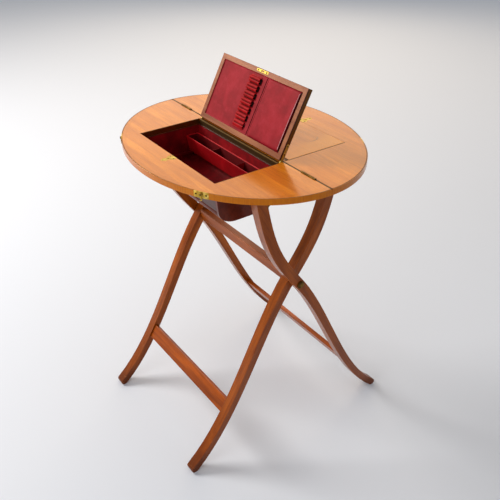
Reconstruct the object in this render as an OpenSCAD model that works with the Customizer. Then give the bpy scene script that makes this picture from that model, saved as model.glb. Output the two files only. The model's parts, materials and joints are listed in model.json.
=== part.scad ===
// Folding oval writing table: two hinged half-oval leaves with sunken writing wells on crossed S-shaped legs.
// X runs along the fold, the front leaf is on the -Y side, Z is up and the feet stand on Z = 0.

/* [Top] */
// Length of the oval top along the fold
top_length = 610; // [560:1:680]
// Depth of the oval top from front to back
top_depth = 504; // [470:1:560]
// Height of the writing surface above the floor
top_height = 722; // [690:1:760]
// Thickness of the boards of the top
board_t = 13.5; // [12.5:0.5:18]
// Gap between the facing edges of the two leaves
fold_gap = 0.4; // [0.3:0.1:0.8]

/* [Wells] */
// Length of each well's opening along the fold
opening_length = 305; // [270:1:320]
// Depth of each well's opening from front to back
opening_depth = 155.8; // [145:0.2:162]
// Width of the rail between an opening and the fold
rail_w = 14.4; // [13.6:0.1:17]
// Width of the ledge that the lid lies on
ledge_w = 2.8; // [2:0.1:4]
// Thickness of the well's long walls and floor
wall_t = 5; // [4:0.5:7]
// Thickness of the well's end boards
end_t = 8; // [6:0.5:9]
// Depth of the well's floor below the writing surface, outside
well_depth = 96.5; // [90:0.5:110]
// Depth below the writing surface at which the walls start to curve
bend_depth = 66; // [60:1:70]
// Inward lean of each long wall down to its bend
wall_lean = 7; // [4:0.5:10]
// Width of the flat part of the floor
floor_flat = 55; // [40:1:60]
// Thickness of the leather lining
lining_t = 0.8; // [0.6:0.1:1.2]
// Depth of the lining's top edge below the writing surface
lining_depth = 20; // [16:1:24]

/* [Lids] */
// Thickness of a lid
lid_t = 12; // [11:0.5:12.5]
// Running clearance round a lid
lid_clearance = 0.3; // [0.2:0.05:0.5]
// Angle through which the front lid stands open
lid_open = 117.4; // [100:0.1:117.4]
// Width of the frame round the leather
frame_w = 11.5; // [9:0.5:14]
// Thickness of the frame round the leather
frame_t = 3.5; // [3:0.1:4.5]
// Thickness of the leather panel
leather_t = 1.2; // [0.8:0.1:1.6]
// Height of the lid's pivot below the writing surface
pin_drop = 4.2; // [4:0.1:4.6]
// Distance of the lid's pivot behind its back edge
pin_setback = 7.2; // [7:0.1:7.4]
// Radius of the lid's pivot pins
pin_r = 1.5; // [1.2:0.1:1.8]
// Length of each pivot pin inside the board
pin_length = 9; // [6:1:14]
// Width of the brass straps
strap_w = 6; // [5:0.5:6.5]
// Thickness of the brass straps
strap_t = 2.2; // [1.5:0.1:2.4]
// Length of a strap along the lid's end
strap_length = 37; // [28:1:50]

/* [Lid fittings] */
// Number of pen loops
loop_count = 7; // [5:1:8]
// Distance from one pen loop to the next
loop_pitch = 16.8; // [15:0.1:17]
// Length of each pen loop
loop_length = 38; // [30:1:42]
// Width of each pen loop
loop_w = 13.5; // [11:0.1:14]
// Height of each pen loop above the leather
loop_h = 6; // [5:0.1:7]
// Thickness of the leather of the loops and the letter wallet
strip_t = 1.2; // [0.8:0.1:1.4]
// Place of the loops' right end from the middle of the lid
loop_x = 6; // [0:1:14]
// Gap between the letter wallet and the frame at its open end
wallet_inset = 1.7; // [1:0.1:6]
// Height of the letter wallet's pocket
wallet_gap = 1.4; // [1:0.1:2]
// Place of the wallet's left end from the middle of the lid
wallet_x = 29; // [26:1:30]
// Width of the wallet's sewn seams
wallet_seam = 4; // [3:0.5:6]

/* [Pen tray] */
// Depth of the tray's rim below the writing surface
tray_drop = 32; // [28:1:38]
// Height of the tray
tray_h = 39; // [32:1:40]
// Width of the tray across its rim
tray_top_w = 33.5; // [28:0.5:40]
// Width of the tray across its bottom
tray_bottom_w = 18; // [16:0.5:22]
// Thickness of the tray's walls
tray_wall = 2.4; // [2:0.1:3]
// Distance between the tray's two dividers
divider_gap = 94; // [70:1:120]
// Height of the runners that carry the tray
runner_h = 6; // [4:0.5:8]
// Width of the runners
runner_w = 6; // [4:0.5:8]

/* [Locks] */
// Length of a lock case along the fold
lock_length = 40; // [34:1:50]
// Depth of a lock case behind its front plate
lock_depth = 20; // [18:1:24]
// Thickness of the lock's front plate
selvage_t = 2.4; // [2.3:0.1:3]
// Height of a lock case
lock_h = 14.5; // [13:0.5:16]
// Board left above a lock case
lock_cover = 4; // [3.6:0.1:4.2]
// Travel of the lock bolt
bolt_throw = 5.5; // [4:0.5:5.5]
// Width of the lock bolt
bolt_w = 9; // [7:0.5:12]
// Thickness of the lock bolt
bolt_t = 3.6; // [3:0.1:4]
// Distance of the keyhole from the opening
keyhole_y = 14.9; // [13:0.1:16]
// Length of the brass escutcheon
escutcheon_l = 34; // [30:0.5:40]
// Width of the brass escutcheon
escutcheon_w = 22; // [18:0.5:26]
// Thickness of the escutcheon
escutcheon_t = 1.2; // [1:0.1:1.6]

/* [Hinges of the top] */
// Distance of each fold hinge's outer end from the middle
fold_hinge_x = 255; // [250:1:262]
// Length of each fold hinge
fold_hinge_l = 43; // [36:1:44]
// Radius of the fold hinges' knuckles
knuckle_r = 2.6; // [2.3:0.1:2.8]
// Radius of the hinge pins
hinge_pin_r = 1.2; // [1:0.1:1.4]
// Thickness of the hinge plates
plate_t = 1.3; // [1:0.1:1.4]
// Depth of a fold hinge's plate on the leaf's edge
fold_plate_h = 10; // [8:0.5:11]

/* [Catches] */
// Distance of the rim catches from the middle
catch_x = 167; // [150:1:180]
// Length of each rim plate
catch_plate_l = 33; // [28:1:38]
// Thickness of a rim plate at its middle
catch_plate_t = 2; // [1.8:0.1:2.6]
// Depth of the catch's pivot below the writing surface
catch_drop = 5; // [4.6:0.1:5.4]
// Thickness of a catch hook
hook_t = 1.8; // [1.4:0.1:2.2]
// Radius of the keeper stud and of the hook's pivot
stud_r = 1.4; // [1.2:0.1:1.6]

/* [Legs] */
// Gap between a well's end board and an inner leg
leg_room = 15.3; // [10:0.1:20]
// Thickness of the legs along the fold
leg_t = 24; // [20:1:24]
// Gap between an outer and an inner leg
leg_gap = 4; // [3:0.5:6]
// Width of a leg at its top
leg_top_w = 25; // [22:0.5:27]
// Width of a leg at the pivot
leg_pivot_w = 23; // [20:0.5:25]
// Width of a leg at its foot
leg_foot_w = 18; // [16:0.5:20]
// Distance of the leg hinges from the fold
leg_hinge_y = 95; // [88:1:100]
// Radius of the leg hinges' knuckles
leg_knuckle_r = 3; // [2.6:0.1:3]
// Length of the plates of the leg hinges
leg_plate_l = 30; // [20:1:34]
// Lean of a leg at its top, in degrees
top_angle = 10.6; // [7:0.1:13]
// Height of the pivot above the floor
pivot_height = 452; // [435:1:470]
// Slope of a leg at the pivot, in degrees from upright
pivot_angle = 37; // [33:0.1:40]
// Distance of the middle of a foot from the fold
foot_y = 277; // [260:1:290]
// Slope of a leg at its foot, in degrees from upright
foot_angle = 49.3; // [44:0.1:52]

/* [Rails of the frame] */
// Height of the section of the pivot rail
pivot_rail_h = 24; // [18:1:28]
// Depth of the section of the pivot rail
pivot_rail_w = 18; // [14:1:20]
// Height of the middle of the flat stretchers
stretcher_z = 139; // [120:1:170]
// Width of the flat stretchers in the plane of the legs
stretcher_w = 36; // [28:1:42]
// Thickness of the flat stretchers
stretcher_t = 11; // [8:0.5:12]
// Depth of every tenon in its leg
tenon_l = 12; // [8:1:18]
// Radius of the round brass head of the pivot bolt
bolt_head_r = 9; // [7:0.5:10]
// Radius of the pivot bolt's shank
shank_r = 4; // [3:0.5:5]

/* [Hidden] */
$fn = 48;

// Clearances and small amounts shared by several pieces
cut = 1;                                     // extra length of a cut past the face that it opens
slide_gap = 0.1;                             // running clearance of a sliding piece
pin_gap = 0.05;                              // running clearance of a pin in its bore
seat_gap = 0.3;                              // clearance between pieces that only rest near each other
knuckle_gap = 0.2;                           // clearance between neighbouring knuckles
knuckle_room = 0.15;                         // clearance between a knuckle and the other plate
curve_steps = 16;                            // straight steps in one stretch of a curve
oval_steps = 84;                             // straight steps round half of the oval

// Places in the top
under_z = top_height - board_t;
half_gap = fold_gap / 2;
fold_z = top_height + half_gap;
rail_y = half_gap + rail_w;
far_y = rail_y + opening_depth;
mid_y = (rail_y + far_y) / 2;
open_x = opening_length / 2;
ledge_z = top_height - lid_t - slide_gap;

// The well's outline across the fold, measured from its middle
top_half = opening_depth / 2 - ledge_w + wall_t;
bend_half = top_half - wall_lean;
bend_z = top_height - bend_depth;
floor_z = top_height - well_depth;
inner_x = open_x - ledge_w;
lining_z = top_height - lining_depth;

// Places in a lid
lid_x = open_x - lid_clearance;
lid_y = rail_y + lid_clearance;
lid_depth = opening_depth - 2 * lid_clearance;
lid_z = top_height - lid_t;
pin_y = lid_y - pin_setback;
pin_z = top_height - pin_drop;
relief_r = pin_setback - 0.2;
leather_z = lid_z + frame_t - leather_t;
field_x = lid_x - frame_w;
field_y = lid_y + frame_w;
field_depth = lid_depth - 2 * frame_w;
wallet_end = field_x - wallet_inset;

// Places in the pen tray
tray_z = top_height - tray_drop;
tray_floor = tray_z - tray_h;
tray_x = inner_x - lining_t - 0.5;
tray_back = mid_y - wall_half(tray_z) + wall_t + lining_t + 0.8;
tray_mid = tray_back + tray_top_w / 2 - 1;

// Places in a lock
lock_top = top_height - lock_cover;
bolt_z = lock_top - 2 - bolt_t;
bolt_l = keyhole_y + 3.5;
bolt_y = far_y + 0.4;
mortise_gap = 0.5;
keyhole_r = 1.8;
lock_y = far_y + selvage_t;
escutcheon_z = top_height - escutcheon_t;

// Places of the legs
leg_x = open_x - ledge_w + end_t + leg_room + 2 * leg_t + leg_gap;
outer_in = leg_x - leg_t;
inner_out = outer_in - leg_gap;
inner_in = inner_out - leg_t;
leg_hinge_z = under_z - leg_knuckle_r - 0.5;
leg_seat = leg_knuckle_r + 0.6;
leg_top_y = leg_hinge_y + (leg_knuckle_r + leg_top_w / 2) / cos(top_angle);
leg_end_z = under_z - seat_gap;
foot_r = leg_foot_w / 2;
foot_sink = 1;
foot_z = foot_r - foot_sink;
bush_r = shank_r + 2;

// Places of the rim catches, on the oval
oval_a = top_length / 2;
oval_b = top_depth / 2;
catch_y = oval_b * sqrt(1 - pow(catch_x / oval_a, 2));
catch_turn = atan2(catch_x / pow(oval_a, 2), catch_y / pow(oval_b, 2));
catch_z = top_height - catch_drop;
hook_reach = 2 * catch_drop + fold_gap;
hook_off = 0.4;
hook_end_r = 3.4;

// A point of a cubic curve, and the whole curve
function bezier_point(p, t) = pow(1 - t, 3) * p[0] + 3 * t * pow(1 - t, 2) * p[1]
    + 3 * t * t * (1 - t) * p[2] + pow(t, 3) * p[3];
function bezier(p, n) = [for (i = [0 : n]) bezier_point(p, i / n)];
function bezier_turn(p, t) = let (d = 3 * pow(1 - t, 2) * (p[1] - p[0]) + 6 * t * (1 - t) * (p[2] - p[1])
    + 3 * t * t * (p[3] - p[2])) d / norm(d);

// Half width of the well's outside at height z, down to the bend
function wall_half(z) = top_half - wall_lean * (under_z - z) / (under_z - bend_z);
// One side of the well's curve from the bend to the flat floor, set in by d
function well_curve(d) = bezier([[bend_half - d, bend_z], [bend_half - 2.1 - d, bend_z - 16],
    [bend_half - 16 - 0.5 * d, floor_z + d], [floor_flat / 2, floor_z + d]], curve_steps);
function mirrored(points) = [for (i = [len(points) - 1 : -1 : 0]) [-points[i][0], points[i][1]]];
// The well's outline from height z_top down, set in by d
function well_outline(d, z_top) = let (side = concat([[wall_half(z_top) - d, z_top]], well_curve(d)))
    concat(side, mirrored(side));
function well_trough(d) = concat(well_curve(d), mirrored(well_curve(d)));
// The half oval of a leaf on the +Y side
function leaf_outline() = let (first = asin(half_gap / oval_b))
    [for (i = [0 : oval_steps]) let (a = first + (180 - 2 * first) * i / oval_steps)
        [oval_a * cos(a), oval_b * sin(a)]];

// Puts a leaf's piece on the front side
module front() { mirror([0, 1, 0]) children(); }
// Makes the mirror twin of a piece at the other end of the fold
module both_ends() { children(); mirror([1, 0, 0]) children(); }
// Makes the twin of a piece on the other side of the well
module both_sides() { children(); translate([0, 2 * mid_y, 0]) mirror([0, 1, 0]) children(); }
// Extrudes a Y-Z outline along X from x0 to x1
module along_x(x0, x1) { translate([x0, 0, 0]) rotate([90, 0, 90]) linear_extrude(x1 - x0) children(); }
// A round bar along X from x0 to x1 at (y, z)
module bar_x(x0, x1, y, z, r) { translate([x0, y, z]) rotate([0, 90, 0]) cylinder(h = x1 - x0, r = r); }
// A block between two corners
module block(low, high) { translate(low) cube(high - low); }
// Swings a front lid's piece open about its pivot
module open_lid() {
    translate([0, pin_y, pin_z]) rotate([lid_open, 0, 0]) translate([0, -pin_y, -pin_z]) children();
}
// Sets a piece on the rim where a catch is, with the rim's outward normal along +Y
module at_rim() { translate([catch_x, catch_y, catch_z]) rotate([0, 0, -catch_turn]) children(); }

// The escutcheon's outline, with its flat end on the opening's edge and its point outwards
module escutcheon_outline() {
    w = escutcheon_w / 2;
    l = escutcheon_l;
    side = [[w * 0.82, 0], [w * 0.86, l * 0.1], [w, l * 0.2], [w * 0.92, l * 0.33], [w * 0.56, l * 0.47],
        [w * 0.44, l * 0.6], [w * 0.62, l * 0.7], [w * 0.5, l * 0.82]];
    translate([0, far_y]) polygon(concat(side, [[0, l]], mirrored(side)));
}

module lid_pin_holes() {
    both_ends() bar_x(open_x, open_x + pin_length + pin_gap, pin_y, pin_z, pin_r + pin_gap);
}

// Room for a strap to swing in the end of the rail
module strap_notches() {
    w = strap_w / 2 + seat_gap;
    lean = [cos(lid_open), sin(lid_open)];
    side = [pin_y - w * lean[1], pin_z + w * lean[0]];
    reach = (top_height + cut - side[1]) / lean[1];
    x0 = lid_x - strap_t - seat_gap;
    both_ends() {
        block([x0, pin_y, pin_z - w], [open_x, rail_y + cut, top_height + cut]);
        bar_x(x0, open_x, pin_y, pin_z, w);
        along_x(x0, open_x)
            polygon([[pin_y + w, pin_z], side, side + reach * lean, [pin_y + w, top_height + cut]]);
    }
}

// Rounds the rail's arris so that the lid's back edge swings past it
module rail_rounding() {
    difference() {
        block([-open_x, rail_y - 2.4, pin_z], [open_x, rail_y + cut, top_height + cut]);
        bar_x(-open_x - 2 * cut, open_x + 2 * cut, pin_y, pin_z, relief_r);
    }
}

module fold_hinge_housing() {
    both_ends() {
        bar_x(fold_hinge_x - fold_hinge_l, fold_hinge_x, 0, fold_z, knuckle_r + seat_gap);
        block([fold_hinge_x - fold_hinge_l, -cut, fold_z - fold_plate_h],
            [fold_hinge_x, half_gap + plate_t, top_height + cut]);
    }
}

module rim_plate_block() {
    both_ends() at_rim()
        block([-catch_plate_l / 2, -catch_plate_t, under_z - catch_z - cut],
            [catch_plate_l / 2, 3 * cut, catch_drop + cut]);
}

module leaf_board() {
    difference() {
        translate([0, 0, under_z]) linear_extrude(board_t) polygon(leaf_outline());
        block([-open_x, rail_y, under_z - cut], [open_x, far_y, top_height + cut]);
        block([-lock_length / 2, far_y - cut, under_z - cut],
            [lock_length / 2, lock_y + lock_depth, lock_top]);
        translate([0, 0, escutcheon_z]) linear_extrude(escutcheon_t + cut) escutcheon_outline();
        translate([0, far_y + keyhole_y, under_z]) cylinder(h = board_t, r = keyhole_r);
        lid_pin_holes();
        strap_notches();
        rail_rounding();
        fold_hinge_housing();
        rim_plate_block();
    }
}

module well_walls() {
    both_sides() {
        along_x(-inner_x, inner_x) polygon([[mid_y + top_half, under_z], [mid_y + bend_half, bend_z],
            [mid_y + bend_half - wall_t, bend_z], [mid_y + top_half - wall_t, under_z]]);
        block([-inner_x, mid_y + top_half - wall_t, under_z], [inner_x, far_y, ledge_z]);
    }
}

module well_ends() {
    both_ends() {
        along_x(inner_x, inner_x + end_t) translate([mid_y, 0]) polygon(well_outline(0, under_z));
        block([inner_x, rail_y, under_z], [open_x, far_y, ledge_z]);
    }
}

module well_floor() {
    along_x(-inner_x, inner_x) translate([mid_y, 0]) difference() {
        polygon(well_trough(0));
        polygon(concat([[bend_half - wall_t, bend_z + cut]], well_trough(wall_t),
            [[wall_t - bend_half, bend_z + cut]]));
    }
}

module well_lining() {
    along_x(lining_t - inner_x, inner_x - lining_t) translate([mid_y, 0]) difference() {
        polygon(well_outline(wall_t, lining_z));
        polygon(concat([[wall_half(lining_z) - wall_t - lining_t, lining_z + cut]],
            well_outline(wall_t + lining_t, lining_z),
            [[wall_t + lining_t - wall_half(lining_z), lining_z + cut]]));
    }
    both_ends() along_x(inner_x - lining_t, inner_x) translate([mid_y, 0])
        polygon(well_outline(wall_t, lining_z));
}

module runners() {
    reach = bend_half - wall_t - lining_t - 8;
    both_ends() block([inner_x - lining_t - runner_w, mid_y - reach, tray_floor - seat_gap - runner_h],
        [inner_x - lining_t, mid_y + reach, tray_floor - seat_gap]);
}

module escutcheon() {
    difference() {
        translate([0, 0, escutcheon_z]) linear_extrude(escutcheon_t) escutcheon_outline();
        translate([0, far_y + keyhole_y, escutcheon_z - cut]) {
            cylinder(h = escutcheon_t + 2 * cut, r = keyhole_r);
            translate([-0.8, 0, 0]) cube([1.6, 4.4, escutcheon_t + 2 * cut]);
        }
    }
}

module bolt_way(gap) {
    block([-bolt_w / 2 - gap, far_y - cut, bolt_z - gap],
        [bolt_w / 2 + gap, bolt_y + bolt_l + 1, bolt_z + bolt_t + gap]);
}

module lock_case() {
    difference() {
        block([-lock_length / 2, lock_y, lock_top - lock_h],
            [lock_length / 2, lock_y + lock_depth, lock_top]);
        bolt_way(slide_gap);
        translate([0, far_y + keyhole_y, bolt_z]) cylinder(h = lock_top, r = keyhole_r);
    }
}

module lock_plate() {
    difference() {
        block([-lock_length / 2, far_y, under_z], [lock_length / 2, lock_y, lock_top]);
        bolt_way(slide_gap);
    }
}

module lock_bolt() {
    difference() {
        block([-bolt_w / 2, bolt_y, bolt_z], [bolt_w / 2, bolt_y + bolt_l, bolt_z + bolt_t]);
        translate([bolt_w / 2 + 0.5, far_y + keyhole_y, bolt_z - cut]) cylinder(h = bolt_t + 2 * cut, r = 3);
    }
}

// One third of a fold hinge's knuckles: k = 0 and 2 belong to the front leaf, k = 1 to the rear one
module fold_knuckle(k, r) {
    third = fold_hinge_l / 3;
    start = fold_hinge_x - fold_hinge_l + k * third;
    bar_x(start + (k > 0 ? knuckle_gap : 0), start + third, 0, fold_z, r);
}

module fold_hinge_plates(own, other) {
    both_ends() difference() {
        union() {
            block([fold_hinge_x - fold_hinge_l, half_gap, fold_z - fold_plate_h],
                [fold_hinge_x, half_gap + plate_t, top_height]);
            for (k = own) fold_knuckle(k, knuckle_r);
        }
        for (k = other) {
            third = fold_hinge_l / 3;
            start = fold_hinge_x - fold_hinge_l + k * third;
            bar_x(start - knuckle_gap, start + third + 2 * knuckle_gap, 0, fold_z, knuckle_r + knuckle_room);
        }
        bar_x(fold_hinge_x - fold_hinge_l - cut, fold_hinge_x + cut, 0, fold_z,
            hinge_pin_r + (len(own) > 1 ? 0 : pin_gap));
    }
}

module fold_pins() {
    both_ends() bar_x(fold_hinge_x - fold_hinge_l, fold_hinge_x, 0, fold_z, hinge_pin_r);
}

// A rim plate, flush with the oval
module rim_plates() {
    intersection() {
        translate([0, 0, under_z]) linear_extrude(board_t) polygon(leaf_outline());
        rim_plate_block();
    }
}

module catch_pivot() {
    at_rim() rotate([-90, 0, 0]) {
        cylinder(h = hook_off + hook_t + slide_gap, r = stud_r);
        translate([0, 0, hook_off + hook_t + slide_gap]) cylinder(h = 1, r = 2.6);
    }
}

module catch_hook() {
    at_rim() translate([0, hook_off, 0]) rotate([-90, 0, 0]) difference() {
        linear_extrude(hook_t) difference() {
            union() {
                circle(r = 3.8);
                translate([-2.4, 0]) square([4.8, hook_reach]);
                translate([0, hook_reach]) circle(r = hook_end_r);
                polygon([[-2.4, hook_reach - 6], [-5.4, hook_reach - 1], [-3, hook_reach + 1]]);
            }
            translate([0, hook_reach]) circle(r = stud_r + 0.15);
            polygon([[0, hook_reach + stud_r + 0.15], [-6, hook_reach + stud_r - 0.4],
                [-6, hook_reach - stud_r - 3], [0, hook_reach - stud_r - 0.15]]);
        }
        translate([0, 0, -cut]) cylinder(h = hook_t + 2 * cut, r = stud_r + pin_gap);
    }
}

module keeper_stud() {
    at_rim() rotate([-90, 0, 0]) cylinder(h = hook_off + hook_t + 0.6, r = stud_r);
}

// Lid pieces lie closed on the +Y side
module lid_panel() {
    difference() {
        block([-lid_x, lid_y, lid_z + frame_t], [lid_x, lid_y + lid_depth, top_height]);
        strap_housings();
        bolt_mortise();
    }
}

module lid_frame() {
    difference() {
        block([-lid_x, lid_y, lid_z], [lid_x, lid_y + lid_depth, lid_z + frame_t]);
        block([-field_x, field_y, lid_z - cut], [field_x, field_y + field_depth, lid_z + frame_t + cut]);
        strap_housings();
        bolt_mortise();
        strike_block();
    }
}

module strap_outline() {
    translate([pin_y, pin_z]) circle(r = strap_w / 2);
    translate([pin_y, pin_z - strap_w / 2]) square([pin_setback + strap_length - strap_w / 2, strap_w]);
    translate([lid_y + strap_length - strap_w / 2, pin_z]) circle(r = strap_w / 2);
}
module strap_housings() { both_ends() along_x(lid_x - strap_t, lid_x + cut) strap_outline(); }
module bolt_mortise() {
    block([-bolt_w / 2 - mortise_gap, far_y - bolt_throw - 1, bolt_z - mortise_gap],
        [bolt_w / 2 + mortise_gap, far_y + cut, bolt_z + bolt_t + mortise_gap]);
}
module strike_block() {
    block([-20, lid_y + lid_depth - 7.5, lid_z], [20, lid_y + lid_depth - 1.5, lid_z + 1.2]);
}
module lid_leather() {
    block([-field_x, field_y, leather_z], [field_x, field_y + field_depth, leather_z + leather_t]);
}
module lid_straps() {
    both_ends() difference() {
        along_x(lid_x - strap_t, lid_x) strap_outline();
        bar_x(lid_x - strap_t - cut, lid_x + cut, pin_y, pin_z, pin_r + pin_gap);
    }
}
module lid_pins() { both_ends() bar_x(lid_x - strap_t, open_x + pin_length, pin_y, pin_z, pin_r); }
module lid_strike() {
    difference() {
        strike_block();
        block([-bolt_w / 2, lid_y + lid_depth - 6, lid_z - cut],
            [bolt_w / 2, lid_y + lid_depth - 3, lid_z + 2 * cut]);
    }
}

// Half of an ellipse that hangs from the leather, set in by d
function loop_outline(d) = [for (i = [0 : curve_steps]) let (a = 180 * i / curve_steps)
    [(loop_w / 2 - d) * cos(a), -(loop_h - d) * sin(a)]];
module loops() {
    first = field_y + (field_depth - (loop_count - 1) * loop_pitch) / 2;
    for (i = [0 : loop_count - 1]) translate([0, first + i * loop_pitch, leather_z])
        along_x(loop_x - loop_length, loop_x) difference() {
            polygon(loop_outline(0));
            polygon(concat([[loop_w / 2 - strip_t, cut]], loop_outline(strip_t),
                [[strip_t - loop_w / 2, cut]]));
        }
}

module wallet() {
    y0 = field_y + 1;
    y1 = field_y + field_depth - 1;
    difference() {
        block([wallet_x, y0, leather_z - wallet_gap - strip_t], [wallet_end, y1, leather_z]);
        block([wallet_x + wallet_seam, y0 + wallet_seam, leather_z - wallet_gap],
            [wallet_end + cut, y1 - wallet_seam, leather_z + cut]);
    }
}

// The tray's outline across its length, set in by d
function tray_outline(d, lift) = [[tray_mid - tray_bottom_w / 2 + d, tray_floor + lift],
    [tray_mid + tray_bottom_w / 2 - d, tray_floor + lift],
    [tray_back + tray_top_w - d, tray_z + lift], [tray_back + d, tray_z + lift]];
module tray() {
    difference() {
        along_x(-tray_x, tray_x) polygon(tray_outline(0, 0));
        along_x(-tray_x + tray_wall, tray_x - tray_wall) polygon(tray_outline(tray_wall, tray_wall));
    }
}
module dividers() {
    for (s = [-1, 1]) along_x(s * divider_gap / 2 - 1, s * divider_gap / 2 + 1) intersection() {
        polygon(tray_outline(tray_wall, tray_wall));
        translate([tray_back, tray_floor]) square([tray_top_w, tray_h - 3]);
    }
}

// The S-curve of a leg on the outer frame: front at the top, rear at the foot
upper_curve = [[-leg_top_y, leg_hinge_z], [-leg_top_y, leg_hinge_z] + 141 * [sin(top_angle), -cos(top_angle)],
    [0, pivot_height] - 100 * [sin(pivot_angle), -cos(pivot_angle)], [0, pivot_height]];
lower_curve = [[0, pivot_height], [0, pivot_height] + 154 * [sin(pivot_angle), -cos(pivot_angle)],
    [foot_y, foot_z] - 168 * [sin(foot_angle), -cos(foot_angle)], [foot_y, foot_z]];
function upper_w(t) = leg_top_w + (leg_pivot_w - leg_top_w) * t;
function lower_w(t) = leg_foot_w + (leg_pivot_w - leg_foot_w) * pow(1 - t, 2);
function across(d) = [-d[1], d[0]];
function leg_side(s) = concat(
    [let (d = bezier_turn(upper_curve, 0)) upper_curve[0] - 12 * d + s * leg_top_w / 2 * across(d)],
    [for (i = [0 : curve_steps]) let (t = i / curve_steps)
        bezier_point(upper_curve, t) + s * upper_w(t) / 2 * across(bezier_turn(upper_curve, t))],
    [for (i = [1 : curve_steps]) let (t = i / curve_steps)
        bezier_point(lower_curve, t) + s * lower_w(t) / 2 * across(bezier_turn(lower_curve, t))]);
function foot_round() = let (d = bezier_turn(lower_curve, 1))
    [for (i = [1 : 9]) let (a = 90 - 18 * i) lower_curve[3] + foot_r * (cos(a) * d + sin(a) * across(d))];
function reversed(points) = [for (i = [len(points) - 1 : -1 : 0]) points[i]];
function trimmed(points) = [for (p = points) [p[0], max(0, min(leg_end_z, p[1]))]];
function leg_outline() = trimmed(concat(leg_side(1), foot_round(), reversed(leg_side(-1))));

// Where the leg's middle line passes height z on its lower half
function curve_at(z, low, high) = let (m = (low + high) / 2)
    high - low < 0.0005 ? m
    : bezier_point(lower_curve, m)[1] > z ? curve_at(z, m, high) : curve_at(z, low, m);
stretcher_t0 = curve_at(stretcher_z, 0, 1);
stretcher_at = bezier_point(lower_curve, stretcher_t0);
stretcher_dir = bezier_turn(lower_curve, stretcher_t0);

module stretcher_section(w, t) {
    translate(stretcher_at) rotate(atan2(stretcher_dir[1], stretcher_dir[0])) square([w, t], center = true);
}
module stretcher_tenon() { stretcher_section(stretcher_w - 10, stretcher_t - 5); }
module stretcher(x) {
    along_x(-x, x) stretcher_section(stretcher_w, stretcher_t);
    both_ends() along_x(x, x + tenon_l) stretcher_tenon();
}
module rail_section(w, h) { translate([0, pivot_height]) square([w, h], center = true); }
module rail_tenon() { rail_section(pivot_rail_w - 8, pivot_rail_h - 8); }

// An outer leg at the +X end; an inner one is its mirror twin across the fold
module leg(x0, x1) { along_x(x0, x1) polygon(leg_outline()); }
module outer_leg() {
    difference() {
        leg(outer_in, leg_x);
        along_x(outer_in - cut, outer_in + tenon_l) stretcher_tenon();
        bar_x(outer_in - cut, leg_x + cut, 0, pivot_height, shank_r);
        leg_plate_housing(outer_in, leg_x);
    }
}
module inner_leg() {
    difference() {
        front() leg(inner_in, inner_out);
        front() leg_plate_housing(inner_in, inner_out);
        front() along_x(inner_in - cut, inner_in + tenon_l) stretcher_tenon();
        along_x(inner_in - cut, inner_in + tenon_l) rail_tenon();
        bar_x(inner_in + tenon_l, inner_out + cut, 0, pivot_height, bush_r);
    }
}

// Sets a piece on a leg's hinge axis, leaning with the top of the leg
module at_leg_hinge() { translate([0, -leg_hinge_y, leg_hinge_z]) rotate([top_angle, 0, 0]) children(); }
// The flat let into the leg's face for its hinge plate
module leg_plate_housing(x0, x1) {
    at_leg_hinge() block([x0 - cut, -leg_seat, -leg_plate_l],
        [x1 + cut, leg_knuckle_r, leg_knuckle_r + 2 * cut]);
}

// The hinge that joins an outer leg to the front leaf: its board plate carries the middle knuckle
module leg_board_plate(x0, x1) {
    third = (x1 - x0) / 3;
    difference() {
        union() {
            block([x0, -leg_hinge_y, under_z - plate_t], [x1, -leg_hinge_y + leg_plate_l, under_z]);
            bar_x(x0 + third + knuckle_gap, x1 - third - knuckle_gap, -leg_hinge_y, leg_hinge_z,
                leg_knuckle_r);
            block([x0 + third + knuckle_gap, -leg_hinge_y, leg_hinge_z + 1],
                [x1 - third - knuckle_gap, -leg_hinge_y + leg_knuckle_r, under_z]);
        }
        for (x = [x0, x1 - third - knuckle_gap])
            bar_x(x - cut, x + third + knuckle_gap, -leg_hinge_y, leg_hinge_z, leg_knuckle_r + knuckle_room);
        bar_x(x0 - cut, x1 + cut, -leg_hinge_y, leg_hinge_z, hinge_pin_r + pin_gap);
    }
}
// The plate on the leg's face, with the outer knuckles and the pin
module leg_plate(x0, x1) {
    third = (x1 - x0) / 3;
    difference() {
        union() {
            at_leg_hinge() block([x0, -leg_seat, -leg_plate_l], [x1, plate_t - leg_seat, 0]);
            for (x = [x0, x1 - third]) bar_x(x, x + third, -leg_hinge_y, leg_hinge_z, leg_knuckle_r);
        }
        bar_x(x0 + third, x1 - third, -leg_hinge_y, leg_hinge_z, leg_knuckle_r + knuckle_room);
        bar_x(x0 - cut, x1 + cut, -leg_hinge_y, leg_hinge_z, hinge_pin_r);
    }
    bar_x(x0, x1, -leg_hinge_y, leg_hinge_z, hinge_pin_r);
}

// Front leaf
module front_board() { color("goldenrod") front() leaf_board(); }
module front_well_walls() { color("saddlebrown") front() well_walls(); }
module front_well_ends() { color("saddlebrown") front() well_ends(); }
module front_well_floor() { color("sienna") front() well_floor(); }
module front_well_lining() { color("darkred") front() well_lining(); }
module tray_runners() { color("maroon") front() runners(); }
module front_escutcheon() { color("gold") front() escutcheon(); }
module front_lock_case() { color("gold") front() lock_case(); }
module front_lock_plate() { color("gold") front() lock_plate(); }
module front_lock_bolt() { color("silver") front() lock_bolt(); }
module fold_hinge_front_plates() { color("gold") front() fold_hinge_plates([0, 2], [1]); }
module fold_hinge_pins() { color("darkgoldenrod") fold_pins(); }
module catch_plates() { color("gold") front() rim_plates(); }
module catch_pivots() { color("darkgoldenrod") front() both_ends() catch_pivot(); }
module catch_hook_right() { color("gold") front() catch_hook(); }
module catch_hook_left() { color("gold") front() mirror([1, 0, 0]) catch_hook(); }
module outer_hinge_plates() { color("gold") both_ends() leg_board_plate(outer_in, leg_x); }

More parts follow.
